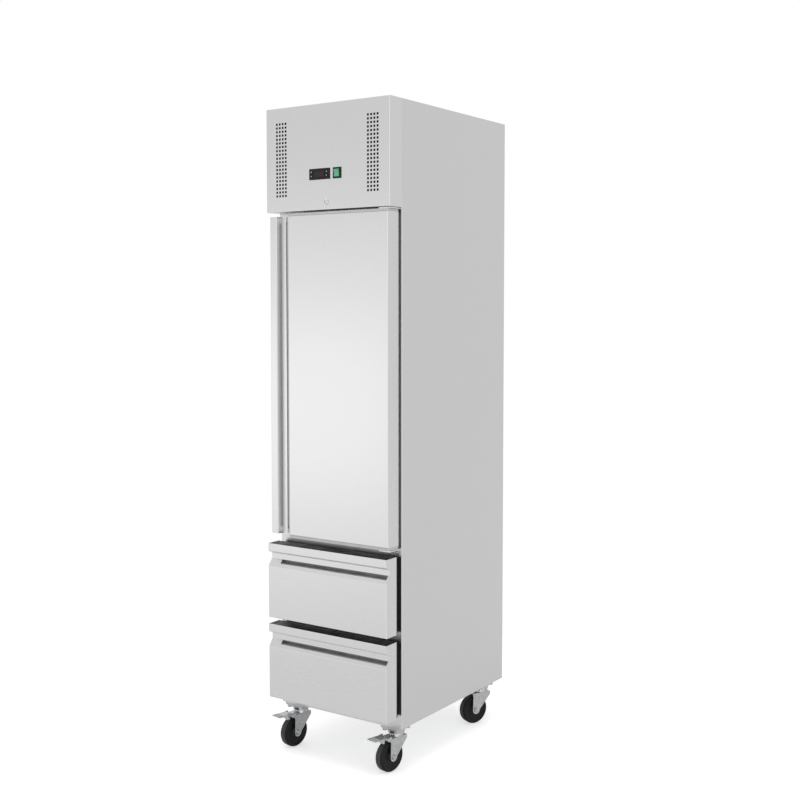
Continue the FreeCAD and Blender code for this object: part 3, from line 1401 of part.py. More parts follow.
def electrical_box():
    """Junction box beside the unit, and the power inlet between it and the rear panel."""
    back = REAR_Y - SHEET
    inlet_y = (back - INLET_DEPTH, back)
    left = -HALF_WIDTH + ELECTRIC_FROM_LEFT
    case_y = (inlet_y[0] - ELECTRIC_DEPTH, inlet_y[0])
    case = box((left, left + ELECTRIC_WIDTH), case_y, (DECK_TOP, DECK_TOP + ELECTRIC_HEIGHT))
    upright = [edge for edge in case.Edges if near(edge.Length, ELECTRIC_HEIGHT)]
    case = case.makeFillet(EDGE_ROUND, upright)
    inlet_z = (DECK_TOP + INLET_LIFT, DECK_TOP + INLET_LIFT + INLET_HEIGHT)
    inlet = box(centred(inlet_x(), INLET_WIDTH), inlet_y, inlet_z)
    socket = box(centred(inlet_x(), SOCKET_WIDTH), (back - SOCKET_DEPTH, back), socket_height())
    return case, inlet.cut(socket)


# Evaporator


def cover_place():
    """Corner pairs of the evaporator cover under the ceiling."""
    back = INNER_REAR - COVER_FROM_REAR
    return centred(0, COVER_WIDTH), (back - COVER_DEPTH, back), (COVER_BOTTOM, CEILING)


def evaporator_fan_axis():
    """Middle of the evaporator fan in the plane of the cover's front."""
    x, y, z = cover_place()
    return Vector(sum(x) / 2, y[0], sum(z) / 2)


def evaporator_cover():
    """Sheet cover with the fan's mouth in front and return slots below."""
    x, y, z = cover_place()
    outer = box(x, y, z)
    inside = box((x[0] + SHEET, x[1] - SHEET), (y[0] + SHEET, y[1] - SHEET), (z[0] + SHEET, z[1]))
    axis = evaporator_fan_axis()
    cuts = [rod(EVAPORATOR_FAN_RADIUS + FAN_TIP_GAP, axis, axis + AXIS_Y * SHEET)]
    slot_y = (y[1] - EVAPORATOR_FROM_REAR - EVAPORATOR_DEPTH, y[1] - EVAPORATOR_FROM_REAR)
    for slot in range(RETURN_SLOTS):
        middle = axis.x + (slot - (RETURN_SLOTS - 1) / 2) * RETURN_SLOT_PITCH
        cuts.append(box(centred(middle, RETURN_SLOT_WIDTH), slot_y, (z[0], z[0] + SHEET)))
    return outer.cut(inside).cut(Part.makeCompound(cuts))


def evaporator_coil():
    """Finned coil that hangs from the ceiling inside the cover."""
    x, y, z = cover_place()
    coil_x = (x[0] + EVAPORATOR_MARGIN, x[1] - EVAPORATOR_MARGIN)
    coil_y = (y[1] - EVAPORATOR_FROM_REAR - EVAPORATOR_DEPTH, y[1] - EVAPORATOR_FROM_REAR)
    return finned_coil(coil_x, coil_y, (CEILING - EVAPORATOR_DROP, CEILING))


# Shelves


def shelf_heights():
    """Underside of each shelf."""
    return [FIRST_SHELF + level * SHELF_STEP for level in range(SHELF_COUNT)]


def shelf_racks():
    """Four pilasters on the liner and a pair of slides under each shelf."""
    start = BODY_FRONT + SHELF_FRONT_MARGIN
    end = start + SHELF_LENGTH
    bottom = DOOR_BOTTOM + SEAL_SEAT
    top = COVER_BOTTOM
    pieces = []
    for y in (start + PILASTER_MARGIN, end - PILASTER_MARGIN):
        pieces.append(box((INNER_HALF - PILASTER, INNER_HALF), centred(y, PILASTER_WIDTH), (bottom, top)))
    back = INNER_HALF - PILASTER
    for z in shelf_heights():
        ledge_top = z - RUN_GAP
        leaf = box((back - SLIDE, back), (start, end), (ledge_top - SLIDE, ledge_top + SLIDE_HEIGHT))
        ledge = box((back - SLIDE_LEDGE, back), (start, end), (ledge_top - SLIDE, ledge_top))
        pieces.append(fuse([leaf, ledge]))
    return pieces + [mirrored(piece) for piece in pieces]


def wire_shelf(z):
    """Wire shelf: two side bars, cross rods and wires along its depth."""
    start = BODY_FRONT + SHELF_FRONT_MARGIN
    end = start + SHELF_LENGTH
    x = SHELF_WIDTH / 2 - SHELF_FRAME_RADIUS
    front = start + SHELF_FRAME_RADIUS
    rear = end - SHELF_FRAME_RADIUS
    level = z + SHELF_FRAME_RADIUS
    pieces = []
    for side in (-x, x):
        pieces.append(rod(SHELF_FRAME_RADIUS, Vector(side, start, level), Vector(side, end, level)))
    gaps = SHELF_CROSS_RODS + 1
    for cross in range(gaps + 1):
        y = front + (rear - front) * cross / gaps
        pieces.append(rod(SHELF_ROD_RADIUS, Vector(-x, y, level), Vector(x, y, level)))
    wire_level = level + SHELF_FRAME_RADIUS
    for wire in range(1, SHELF_WIRES + 1):
        wire_x = -x + 2 * x * wire / (SHELF_WIRES + 1)
        wire_front = Vector(wire_x, front, wire_level)
        wire_rear = Vector(wire_x, rear, wire_level)
        pieces.append(rod(SHELF_WIRE_RADIUS, wire_front, wire_rear))
    return fuse(pieces)


# All nodes


def write_body():
    """Nodes of the fixed cabinet."""
    right = side_panel()
    save("side_panel_right", right)
    save("side_panel_left", mirrored(right))
    save("rear_panel", rear_panel())
    save("base_panel", base_panel())
    save("insulation", insulation())
    save("inner_liner", inner_liner())
    save("front_rails", *front_rails())
    save("machine_deck", machine_deck())
    save("hinge_brackets", *hinge_brackets())
    save("shelf_racks", *shelf_racks())
    save("wire_shelves", *[wire_shelf(z) for z in shelf_heights()])


def write_fascia():
    """Nodes of the fascia and its fittings."""
    save("fascia_panel", fascia_panel())
    save("controller_housing", controller_housing())
    save("controller_display", display_window())
    for name, place in button_places().items():
        save(name, controller_button(place))
    save("switch_bezel", switch_bezel())
    save("switch_rocker", switch_rocker())
    save("lock_housing", lock_housing())
    save("lock_plug", *lock_plug())


def write_unit():
    """Nodes of the refrigeration unit and the evaporator."""
    condenser_axis = condenser_fan_axis()
    condenser_middle = condenser_axis + AXIS_Y * (FAN_RING - FAN_HUB / 2)
    evaporator_axis = evaporator_fan_axis()
    evaporator_middle = evaporator_axis + AXIS_Y * (SHEET + FAN_HUB)
    save("condenser_coil", *finned_coil(*condenser_place()))
    save("condenser_shroud", condenser_shroud())
    save("condenser_fan", axial_fan(condenser_middle, CONDENSER_FAN_RADIUS))
    save("evaporator_coil", *evaporator_coil())
    save("evaporator_cover", evaporator_cover())
    save("evaporator_fan", axial_fan(evaporator_middle, EVAPORATOR_FAN_RADIUS))
    condenser_arm = CONDENSER_FAN_RADIUS + FAN_TIP_GAP + MOTOR_ARM_WIDTH
    condenser_motor = fan_motor(condenser_middle, condenser_arm, condenser_axis.y)
    evaporator_arm = EVAPORATOR_FAN_RADIUS + FAN_TIP_GAP + MOTOR_ARM
    evaporator_motor = fan_motor(evaporator_middle, evaporator_arm, evaporator_axis.y + SHEET)
    save("fan_motors", condenser_motor, evaporator_motor)
    save("compressor", *compressor())
    save("refrigerant_lines", *refrigerant_lines())
    case, inlet = electrical_box()
    save("electrical_box", case)
    save("power_inlet", inlet)


def write_door():
    """Nodes of the door."""
    skin, core, liner, caps = door_parts()
    save("door_skin", skin)
    save("door_core", core)
    save("door_liner", liner)
    save("door_caps", *caps)
    save("door_gasket", door_gasket())


def write_drawers():
    """Nodes of both drawers and their rails."""
    fixed_rails = []
    for name, bottom in (("drawer_upper", UPPER_DRAWER), ("drawer_lower", LOWER_DRAWER)):
        fixed, middle, runners = rail_members(bottom)
        fixed_rails.extend(fixed)
        save(name + "_front", drawer_front(bottom).skin())
        save(name + "_back", drawer_back(bottom))
        save(name + "_gasket", drawer_gasket(bottom))
        save(name + "_box", drawer_box(bottom), *runners)
        save(name + "_middle_rails", *middle)
    save("drawer_rails", *fixed_rails)


def write_castors():
    """Nodes of the four castors, each fork turned to its place at rest."""
    plates = []
    for name, castor in castor_places().items():
        braked = name.startswith("front")
        plates.extend(castor_plate(castor))
        nodes = {
            "castor_fork_": castor_fork(castor, braked),
            "castor_wheel_": [castor_wheel(castor)],
        }
        if braked:
            nodes["brake_pedal_"] = [brake_pedal(castor)]
        for prefix, solids in nodes.items():
            turned = [solid.rotated(castor, AXIS_Z, castor_turns()[name]) for solid in solids]
            save(prefix + name, *turned)
    save("castor_plates", *plates)


def main():
    """Write every node of the cabinet."""
    os.makedirs("parts", exist_ok=True)
    write_body()
    write_fascia()
    write_unit()
    write_door()
    write_drawers()
    write_castors()


main()
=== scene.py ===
"""Looks of the slim upright freezer cabinet: finishes, small fittings, studio light and camera."""

import json
import logging
import math
from dataclasses import dataclass, field, replace
from enum import Enum
from typing import Iterable, Sequence

import bmesh
import bpy
from mathutils import Matrix, Vector


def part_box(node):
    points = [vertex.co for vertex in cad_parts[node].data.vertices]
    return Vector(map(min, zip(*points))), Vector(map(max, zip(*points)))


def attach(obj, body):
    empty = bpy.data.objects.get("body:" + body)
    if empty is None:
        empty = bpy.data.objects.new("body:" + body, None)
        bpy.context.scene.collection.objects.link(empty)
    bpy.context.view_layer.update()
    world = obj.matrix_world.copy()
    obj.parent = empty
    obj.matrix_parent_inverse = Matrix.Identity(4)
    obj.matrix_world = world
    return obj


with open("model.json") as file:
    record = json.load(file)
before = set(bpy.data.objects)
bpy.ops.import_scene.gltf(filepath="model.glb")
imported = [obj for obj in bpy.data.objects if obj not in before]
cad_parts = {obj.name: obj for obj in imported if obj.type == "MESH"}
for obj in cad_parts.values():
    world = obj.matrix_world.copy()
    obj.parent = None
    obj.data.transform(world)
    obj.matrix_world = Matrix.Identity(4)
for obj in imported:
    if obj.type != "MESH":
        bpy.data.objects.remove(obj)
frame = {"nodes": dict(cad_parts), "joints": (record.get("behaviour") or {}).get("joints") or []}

LOG = logging.getLogger("freezer_cabinet")
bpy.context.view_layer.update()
MM = 0.001
WHITE = (1.0, 1.0, 1.0, 1.0)
TOWARDS_FRONT = Vector((0.0, -1.0, 0.0))
SHARP_ANGLE = math.radians(35)
BEVEL_ANGLE = math.radians(40)
BEVEL_STEPS = 2
WELD_DISTANCE = 1e-6

# Sockets that a mix node uses for colours: its two inputs and its output
MIX_FIRST = 6
MIX_SECOND = 7
MIX_RESULT = 2

# Roughness varies by this many times the share that a colour does
ROUGHNESS_SWING = 2.0

# Half section of a pan head, as shares of its radius and height; the height is itself a share of the radius
PAN_HEAD = (
    (0.0, 0.0),
    (1.0, 0.0),
    (1.0, 0.35),
    (0.86, 0.75),
    (0.5, 1.0),
    (0.3, 1.0),
    (0.22, 0.5),
    (0.0, 0.4),
)
HEAD_HEIGHT = 0.6
HEAD_STEPS = 20

Colour = tuple[float, float, float]
Point = tuple[float, float, float]


class Grain(Enum):
    """Way that polishing lines run: scale of their noise along X, Y and Z, smallest along the lines."""

    UPRIGHT = (1.0, 1.0, 0.006)
    ACROSS = (0.006, 1.0, 1.0)
    DEEP = (1.0, 0.006, 1.0)


class Shader:
    """A material's node tree, with short calls that add and join its nodes."""

    def __init__(self, name: str, span: tuple[float, float] = (0.3, 0.7)) -> None:
        """Start a material with an empty surface.

        Args:
            name: name of the new material.
            span: part of a field from 0 to 1 that its colours and numbers stretch over.
        """
        self.span = span
        self.material = bpy.data.materials.new(name)
        self.material.use_nodes = True
        self.tree = self.material.node_tree
        self.surface = self.tree.nodes["Principled BSDF"]

    def node(self, kind: str, **settings: object) -> bpy.types.Node:
        """Add a node.

        Args:
            kind: type of the node.
            settings: properties to set on it.

        Returns:
            The new node.
        """
        made = self.tree.nodes.new(kind)
        for key, value in settings.items():
            setattr(made, key, value)
        return made

    def join(self, output: bpy.types.NodeSocket, target: bpy.types.NodeSocket) -> None:
        """Link one socket to another.

        Args:
            output: socket that gives the value.
            target: socket that takes it.
        """
        self.tree.links.new(output, target)

    def constant(self, **values: object) -> None:
        """Set numbers and colours on the surface's own sockets.

        Args:
            values: socket names, with underscores for spaces, and their values.
        """
        for key, value in values.items():
            self.surface.inputs[key.replace("_", " ")].default_value = value

    def place(self, scale: Sequence[float]) -> bpy.types.NodeSocket:
        """Coordinates of the piece itself, in metres, times a scale.

        Args:
            scale: factor along each axis.

        Returns:
            The scaled coordinates.
        """
        source = self.node("ShaderNodeTexCoord")
        mapping = self.node("ShaderNodeMapping")
        mapping.inputs["Scale"].default_value = scale
        self.join(source.outputs["Object"], mapping.inputs["Vector"])
        return mapping.outputs["Vector"]

    def noise(self, scale: Sequence[float], detail: float = 3.0, rough: float = 0.5) -> bpy.types.NodeSocket:
        """Soft random field.

        Args:
            scale: cells per metre along each axis.
            detail: octaves of finer noise.
            rough: strength of the finer octaves.

        Returns:
            A value from 0 to 1.
        """
        noise = self.node("ShaderNodeTexNoise")
        noise.inputs["Scale"].default_value = 1.0
        noise.inputs["Detail"].default_value = detail
        noise.inputs["Roughness"].default_value = rough
        self.join(self.place(scale), noise.inputs["Vector"])
        return noise.outputs["Fac"]

    def cells(self, scale: float) -> bpy.types.NodeSocket:
        """Crystal-like cells of one random shade each.

        Args:
            scale: cells per metre.

        Returns:
            A colour that differs from cell to cell.
        """
        cells = self.node("ShaderNodeTexVoronoi")
        cells.inputs["Scale"].default_value = scale
        self.join(self.place((1.0, 1.0, 1.0)), cells.inputs["Vector"])
        return cells.outputs["Color"]

    def between(self, value: bpy.types.NodeSocket, low: float, high: float) -> bpy.types.NodeSocket:
        """Stretch a field over a range of numbers.

        Args:
            value: field from 0 to 1.
            low: number at its low end.
            high: number at its high end.

        Returns:
            The stretched field.
        """
        spread = self.node("ShaderNodeMapRange")
        spread.inputs["From Min"].default_value = self.span[0]
        spread.inputs["From Max"].default_value = self.span[1]
        spread.inputs["To Min"].default_value = low
        spread.inputs["To Max"].default_value = high
        self.join(value, spread.inputs["Value"])
        return spread.outputs["Result"]

    def shades(self, value: bpy.types.NodeSocket, colour: Colour, spread: float) -> bpy.types.NodeSocket:
        """Vary a colour's brightness with a field.

        Args:
            value: field from 0 to 1.
            colour: the middle colour.
            spread: share by which it darkens and brightens.

        Returns:
            The varied colour.
        """
        mix = self.node("ShaderNodeMix", data_type="RGBA")
        dark = [channel * (1.0 - spread) for channel in colour]
        light = [min(1.0, channel * (1.0 + spread)) for channel in colour]
        mix.inputs[MIX_FIRST].default_value = (*dark, 1.0)
        mix.inputs[MIX_SECOND].default_value = (*light, 1.0)
        self.join(self.between(value, 0.0, 1.0), mix.inputs[0])
        return mix.outputs[MIX_RESULT]

    def bump(self, height: bpy.types.NodeSocket, strength: float, depth: float) -> None:
        """Roughen the surface's normal with a height field.

        Args:
            height: field from 0 to 1.
            strength: how much of the effect shows.
            depth: height of the relief in metres.
        """
        bump = self.node("ShaderNodeBump")
        bump.inputs["Strength"].default_value = strength
        bump.inputs["Distance"].default_value = depth
        self.join(height, bump.inputs["Height"])
        self.join(bump.outputs["Normal"], self.surface.inputs["Normal"])


@dataclass(frozen=True)
class Finish:
    """A surface finish with a colour and a roughness that both vary a little."""

    name: str
    colour: Colour
    roughness: float
    spread: float = 0.06

    def make(self) -> bpy.types.Material:
        """Build the material; each kind of finish has its own way.

        Returns:
            The material.
        """
        raise NotImplementedError

    def start(self, field_of: bpy.types.NodeSocket, shader: Shader) -> None:
        """Feed the colour and roughness from one field.

        Args:
            field_of: field from 0 to 1.
            shader: the material being built.
        """
        shader.join(shader.shades(field_of, self.colour, self.spread), shader.surface.inputs["Base Color"])
        low = self.roughness * (1.0 - ROUGHNESS_SWING * self.spread)
        high = self.roughness * (1.0 + ROUGHNESS_SWING * self.spread)
        shader.join(shader.between(field_of, low, high), shader.surface.inputs["Roughness"])


@dataclass(frozen=True)
class BrushedSteel(Finish):
    """Satin stainless sheet with fine polishing lines."""

    grain: Grain = Grain.UPRIGHT
    lines_per_metre: float = 2600.0
    depth: float = 0.00002
    relief: float = 0.12

    def make(self) -> bpy.types.Material:
        """Build the steel.

        Returns:
            The material.
        """
        shader = Shader(self.name)
        scale = [self.lines_per_metre * share for share in self.grain.value]
        lines = shader.noise(scale, detail=4.0, rough=0.6)
        self.start(lines, shader)
        shader.constant(Metallic=1.0)
        shader.bump(lines, self.relief, self.depth)
        return shader.material


@dataclass(frozen=True)
class PlatedSteel(Finish):
    """Zinc plate, chrome or drawn copper with a faint cloudy bloom."""

    cloud: float = 90.0
    depth: float = 0.00003
    relief: float = 0.15

    def make(self) -> bpy.types.Material:
        """Build the plating.

        Returns:
            The material.
        """
        shader = Shader(self.name)
        bloom = shader.noise((self.cloud,) * 3, detail=5.0, rough=0.6)
        self.start(bloom, shader)
        shader.constant(Metallic=1.0)
        shader.bump(bloom, self.relief, self.depth)
        return shader.material


@dataclass(frozen=True)
class SpangledSheet(Finish):
    """Galvanised sheet with its crystal spangle."""

    spangle: float = 70.0
    depth: float = 0.00005
    relief: float = 0.05
    metal: float = 0.85

    def make(self) -> bpy.types.Material:
        """Build the spangled zinc.

        Returns:
            The material.
        """
        shader = Shader(self.name, (0.0, 1.0))
        split = shader.node("ShaderNodeSeparateColor")
        shader.join(shader.cells(self.spangle), split.inputs["Color"])
        self.start(split.outputs["Red"], shader)
        shader.constant(Metallic=self.metal)
        shader.bump(split.outputs["Green"], self.relief, self.depth)
        return shader.material


@dataclass(frozen=True)
class Moulding(Finish):
    """Moulded plastic, rubber or enamel with a fine grained skin."""

    grain_per_metre: float = 1800.0
    depth: float = 0.00006
    coat: float = 0.0
    relief: float = 0.3
    sheen: float = 0.5
    cloud: float = 24.0

    def make(self) -> bpy.types.Material:
        """Build the moulding.

        Returns:
            The material.
        """
        shader = Shader(self.name)
        broad = shader.noise((self.cloud,) * 3)
        self.start(broad, shader)
        fine = shader.noise((self.grain_per_metre,) * 3, detail=2.0)
        shader.constant(Coat_Weight=self.coat, Specular_IOR_Level=self.sheen)
        shader.bump(fine, self.relief, self.depth)
        return shader.material


@dataclass(frozen=True)
class WheelRubber(Finish):
    """Hard black wheel with a greyer, duller band around its rim, partly its own rubber and partly a painted
    sheen of grazing light.
    """

    tread_and_sheen: Colour = (0.055, 0.055, 0.056)
    turn: float = 0.0
    rim: tuple[float, float] = (0.15, 0.5)
    cloud: float = 160.0
    grain_per_metre: float = 700.0
    depth: float = 0.0001
    relief: float = 0.3
    sheen: float = 0.2

    def make(self) -> bpy.types.Material:
        """Build the rubber, told apart by how far the surface faces away from the axle.

        Returns:
            The material.
        """
        shader = Shader(self.name)
        broad = shader.noise((self.cloud,) * 3, detail=4.0, rough=0.6)
        facing = shader.node("ShaderNodeVectorMath", operation="DOT_PRODUCT")
        shader.join(shader.node("ShaderNodeTexCoord").outputs["Normal"], facing.inputs[0])
        facing.inputs[1].default_value = (math.cos(self.turn), math.sin(self.turn), 0.0)
        aside = shader.node("ShaderNodeMath", operation="ABSOLUTE")
        shader.join(facing.outputs["Value"], aside.inputs[0])
        rim = shader.node("ShaderNodeMapRange", interpolation_type="SMOOTHSTEP")
        rim.inputs["From Min"].default_value = self.rim[0]
        rim.inputs["From Max"].default_value = self.rim[1]
        rim.inputs["To Min"].default_value = 1.0
        rim.inputs["To Max"].default_value = 0.0
        shader.join(aside.outputs[0], rim.inputs["Value"])
        blend = shader.node("ShaderNodeMix", data_type="RGBA")
        shader.join(rim.outputs["Result"], blend.inputs[0])
        # The rim band's greyer colour is partly duller rubber and partly a painted sheen of grazing light.
        shader.join(shader.shades(broad, self.colour, self.spread), blend.inputs[MIX_FIRST])
        shader.join(shader.shades(broad, self.tread_and_sheen, self.spread), blend.inputs[MIX_SECOND])
        shader.join(blend.outputs[MIX_RESULT], shader.surface.inputs["Base Color"])
        low = self.roughness * (1.0 - self.spread)
        high = self.roughness * (1.0 + self.spread)
        rough = shader.between(broad, low, high)
        shader.join(rough, shader.surface.inputs["Roughness"])
        shader.constant(Specular_IOR_Level=self.sheen)
        fine = shader.noise((self.grain_per_metre,) * 3, detail=2.0)
        shader.bump(fine, self.relief, self.depth)
        return shader.material


@dataclass(frozen=True)
class RigidFoam(Finish):
    """Foam with a cut, open-celled face."""

    cell: float = 900.0
    depth: float = 0.0004
    relief: float = 0.6
    sheen: float = 0.1

    def make(self) -> bpy.types.Material:
        """Build the foam.

        Returns:
            The material.
        """
        shader = Shader(self.name)
        pores = shader.noise((self.cell,) * 3, detail=5.0, rough=0.7)
        self.start(pores, shader)
        shader.constant(Specular_IOR_Level=self.sheen)
        shader.bump(pores, self.relief, self.depth)
        return shader.material


@dataclass(frozen=True)
class Finishes:
    """Every finish on the cabinet."""

    # Same steel as the front with a darker colour: painted shade for the side panels, which face away from
    # the light; the front rails take it too.
    panel: BrushedSteel = BrushedSteel("brushed_panel", (0.545, 0.545, 0.545), 0.30, 0.03)
    front: BrushedSteel = BrushedSteel("brushed_front", (0.575, 0.575, 0.575), 0.28, 0.03)
    drawer: BrushedSteel = BrushedSteel("brushed_drawer", (0.575, 0.575, 0.575), 0.28, 0.03, Grain.ACROSS)
    liner: BrushedSteel = BrushedSteel("liner_sheet", (0.56, 0.56, 0.56), 0.34, 0.04, Grain.DEEP)
    zinc: PlatedSteel = PlatedSteel("zinc_plate", (0.58, 0.585, 0.59), 0.22, 0.12)
    # Zinc like the plate above but darker: painted shade standing in for the dark surroundings that the
    # castors reflect.
    castor: PlatedSteel = PlatedSteel("castor_zinc", (0.42, 0.425, 0.43), 0.18, 0.16)
    chrome: PlatedSteel = PlatedSteel("bright_chrome", (0.62, 0.62, 0.62), 0.10, 0.05)
    sheet: SpangledSheet = SpangledSheet("galvanised_sheet", (0.46, 0.47, 0.48), 0.42, 0.06)
    fin: BrushedSteel = BrushedSteel("fin_stock", (0.62, 0.63, 0.64), 0.36, 0.08, Grain.ACROSS, 900.0)
    copper: PlatedSteel = PlatedSteel("drawn_copper", (0.60, 0.27, 0.14), 0.30, 0.14, 40.0)
    black: Moulding = Moulding("black_moulding", (0.010, 0.010, 0.010), 0.46, 0.12, sheen=0.2)
    drawer_back: Moulding = Moulding("drawer_back", (0.006, 0.006, 0.006), 0.36, 0.12, relief=0.1, sheen=0.1)
    # Grey trough lining the drawers' finger pockets: painted shade, darker than the steel where the pocket
    # only lies in shade.
    pocket_shade: Moulding = Moulding("grip_liner", (0.38, 0.38, 0.38), 0.40, 0.12, sheen=0.3)
    seal: Moulding = Moulding("soft_seal", (0.008, 0.008, 0.008), 0.62, 0.15, 900.0, sheen=0.15)
    tyre: WheelRubber = WheelRubber("wheel_rubber", (0.009, 0.009, 0.009), 0.50, 0.2)
    cap: Moulding = Moulding("end_cap", (0.60, 0.605, 0.61), 0.40, 0.04)
    door_liner: Moulding = Moulding("formed_liner", (0.76, 0.765, 0.77), 0.34, 0.012, 500.0)
    window: Moulding = Moulding(
        "tinted_window",
        (0.012, 0.008, 0.009),
        0.10,
        0.1,
        grain_per_metre=60.0,
        depth=0.00001,
        relief=0.02,
        sheen=0.3,
    )
    key: Moulding = Moulding("control_key", (0.016, 0.016, 0.017), 0.50, 0.1, sheen=0.2)
    rocker: Moulding = Moulding(
        "green_rocker",
        (0.10, 0.46, 0.25),
        0.24,
        0.08,
        grain_per_metre=400.0,
        depth=0.00002,
        coat=0.3,
        relief=0.05,
    )
    mark: Moulding = Moulding("printed_mark", (0.82, 0.82, 0.82), 0.5, 0.05)
    segment: Moulding = Moulding("display_segment", (0.07, 0.024, 0.026), 0.3, 0.1, sheen=0.3)
    enamel: Moulding = Moulding(
        "black_enamel",
        (0.014, 0.014, 0.015),
        0.30,
        0.14,
        grain_per_metre=260.0,
        depth=0.0001,
        coat=0.25,
    )
    wire: Moulding = Moulding("coated_wire", (0.66, 0.67, 0.68), 0.30, 0.05, 700.0)
    foam: RigidFoam = RigidFoam("rigid_foam", (0.72, 0.64, 0.42), 0.9, 0.12)
    # Near-black sheet behind the vent holes: painted shade for the machine bay seen through them.
    filter: RigidFoam = RigidFoam("dust_filter", (0.004, 0.004, 0.004), 0.95, 0.25, 500.0)


class Palette:
    """Makes each finish once and hands out its material."""

    def __init__(self) -> None:
        """Start with no materials made."""
        self.made: dict[str, bpy.types.Material] = {}

    def of(self, finish: Finish) -> bpy.types.Material:
        """The material of a finish.

        Args:
            finish: the finish.

        Returns:
            Its material, made on first use.
        """
        if finish.name not in self.made:
            self.made[finish.name] = finish.make()
        return self.made[finish.name]


def joint_named(name: str) -> dict:
    """A joint of the frame.

    Args:
        name: its name.

    Returns:
        Its row, with its place and axis.
    """
    return next(joint for joint in frame["joints"] if joint["name"] == name)


class Shape:
    """A mesh that grows from simple solids and becomes one piece."""

    def __init__(self) -> None:
        """Start with an empty mesh."""
        self.mesh = bmesh.new()

    def block(self, low: Sequence[float], high: Sequence[float], round_by: float = 0.0) -> None:
        """Add a box with softened edges.

        Args:
            low: lowest corner.
            high: highest corner.
            round_by: width of the rounding on its edges.
        """
        middle = [(a + b) / 2 for a, b in zip(low, high)]
        size = [b - a for a, b in zip(low, high)]
        matrix = Matrix.Translation(middle) @ Matrix.Diagonal((*size, 1.0))
        made = bmesh.ops.create_cube(self.mesh, size=1.0, matrix=matrix)
        if round_by > 0.0:
            edges = {edge for vertex in made["verts"] for edge in vertex.link_edges}
            bmesh.ops.bevel(
                self.mesh,
                geom=list(edges),
                offset=round_by,
                segments=BEVEL_STEPS,
                profile=0.5,
                affect="EDGES",
            )

    def turned(self, profile: Sequence[tuple[float, float]], base: Vector, axis: Vector, steps: int) -> None:
        """Add a turned form, closed on its axis at both ends.

        Args:
            profile: radius and height of each point, from the base upwards.
            base: point on the axis at height 0.
            axis: direction of the axis.
            steps: corners around it.
        """
        turn = axis.to_track_quat("Z", "Y").to_matrix()
        rings = []
        for radius, height in profile:
            ring = []
            for step in range(steps if radius > 0 else 1):
                angle = 2 * math.pi * step / steps
                local = Vector((radius * math.cos(angle), radius * math.sin(angle), height))
                ring.append(self.mesh.verts.new(base + turn @ local))
            rings.append(ring)
        for lower, upper in zip(rings, rings[1:]):
            for step in range(steps):
                following = (step + 1) % steps
                corners = [lower[step % len(lower)], lower[following % len(lower)]]
                corners += [upper[following % len(upper)], upper[step % len(upper)]]
                unique = list(dict.fromkeys(corners))
                if len(unique) > 2:
                    self.mesh.faces.new(unique)

    def plate(self, outline: Sequence[Point], sweep: Point) -> None:
        """Add a flat outline swept straight into a solid.

        Args:
            outline: corners in order.
            sweep: direction and length of the sweep.
        """
        face = self.mesh.faces.new([self.mesh.verts.new(corner) for corner in outline])
        grown = bmesh.ops.extrude_face_region(self.mesh, geom=[face])
        moved = [item for item in grown["geom"] if isinstance(item, bmesh.types.BMVert)]
        bmesh.ops.translate(self.mesh, verts=moved, vec=sweep)

    def finish(self, name: str) -> bpy.types.Object:
        """Turn the mesh into an object.

        Args:
            name: name of the piece.

        Returns:
            The object, linked to the scene.
        """
        bmesh.ops.recalc_face_normals(self.mesh, faces=self.mesh.faces)
        data = bpy.data.meshes.new(name)
        self.mesh.to_mesh(data)
        self.mesh.free()
        data.shade_smooth()
        data.set_sharp_from_angle(angle=SHARP_ANGLE)
        piece = bpy.data.objects.new(name, data)
        bpy.context.scene.collection.objects.link(piece)
        return piece


@dataclass
class SubAssembly:
    """Part of the cabinet that is dressed as one."""

    palette: Palette
    finishes: Finishes
    pieces: list[str] = field(default_factory=list)

    def build(self) -> None:
        """Dress the nodes and add the pieces; each sub-assembly has its own way."""
        raise NotImplementedError

    def dress(self, finish: Finish, *nodes: str, soften: float = 0.0) -> None:
        """Give nodes a finish and perhaps soften their edges.

        Args:
            finish: the finish.
            nodes: names of the nodes.
            soften: width of the rounding on sharp edges, or 0 for none.
        """
        for name in nodes:
            node = frame["nodes"][name]
            node.data.materials.clear()
            node.data.materials.append(self.palette.of(finish))
            if soften > 0.0:
                self.round_edges(node, soften)
            self.pieces.append(name)

    @staticmethod
    def round_edges(node: bpy.types.Object, width: float) -> None:
        """Round a node's sharp edges with modifiers alone.

        Args:
            node: the object.
            width: width of the rounding.
        """
        weld = node.modifiers.new("weld", "WELD")
        weld.merge_threshold = WELD_DISTANCE
        bevel = node.modifiers.new("round", "BEVEL")
        bevel.width = width
        bevel.segments = BEVEL_STEPS
        bevel.limit_method = "ANGLE"
        bevel.angle_limit = BEVEL_ANGLE
        bevel.harden_normals = True

    def add(self, shape: Shape, name: str, finish: Finish, body: str, slot: str) -> bpy.types.Object:
        """Turn a shape into a piece that rides on a body.

        Args:
            shape: the finished mesh.
            name: name of the piece.
            finish: its finish.
            body: body that it rides on.
            slot: material slot of the record that it belongs to; not used.

        Returns:
            The piece.
        """
        piece = shape.finish(name)
        piece.data.materials.append(self.palette.of(finish))
        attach(piece, body)
        self.pieces.append(name)
        return piece

    def screws(self, name: str, places: Iterable[Vector], radius: float, body: str) -> None:
        """Add a row of pan-head screws with a dished drive, facing the front.

        Args:
            name: name of the piece.
            places: middle of each head on its seat.
            radius: radius of a head.
            body: body that they ride on.
        """
        shape = Shape()
        height = radius * HEAD_HEIGHT
        profile = [(radius * across, height * up) for across, up in PAN_HEAD]
        for place in places:
            shape.turned(profile, place, TOWARDS_FRONT, HEAD_STEPS)
        self.add(shape, name, self.finishes.zinc, body, "zinc")


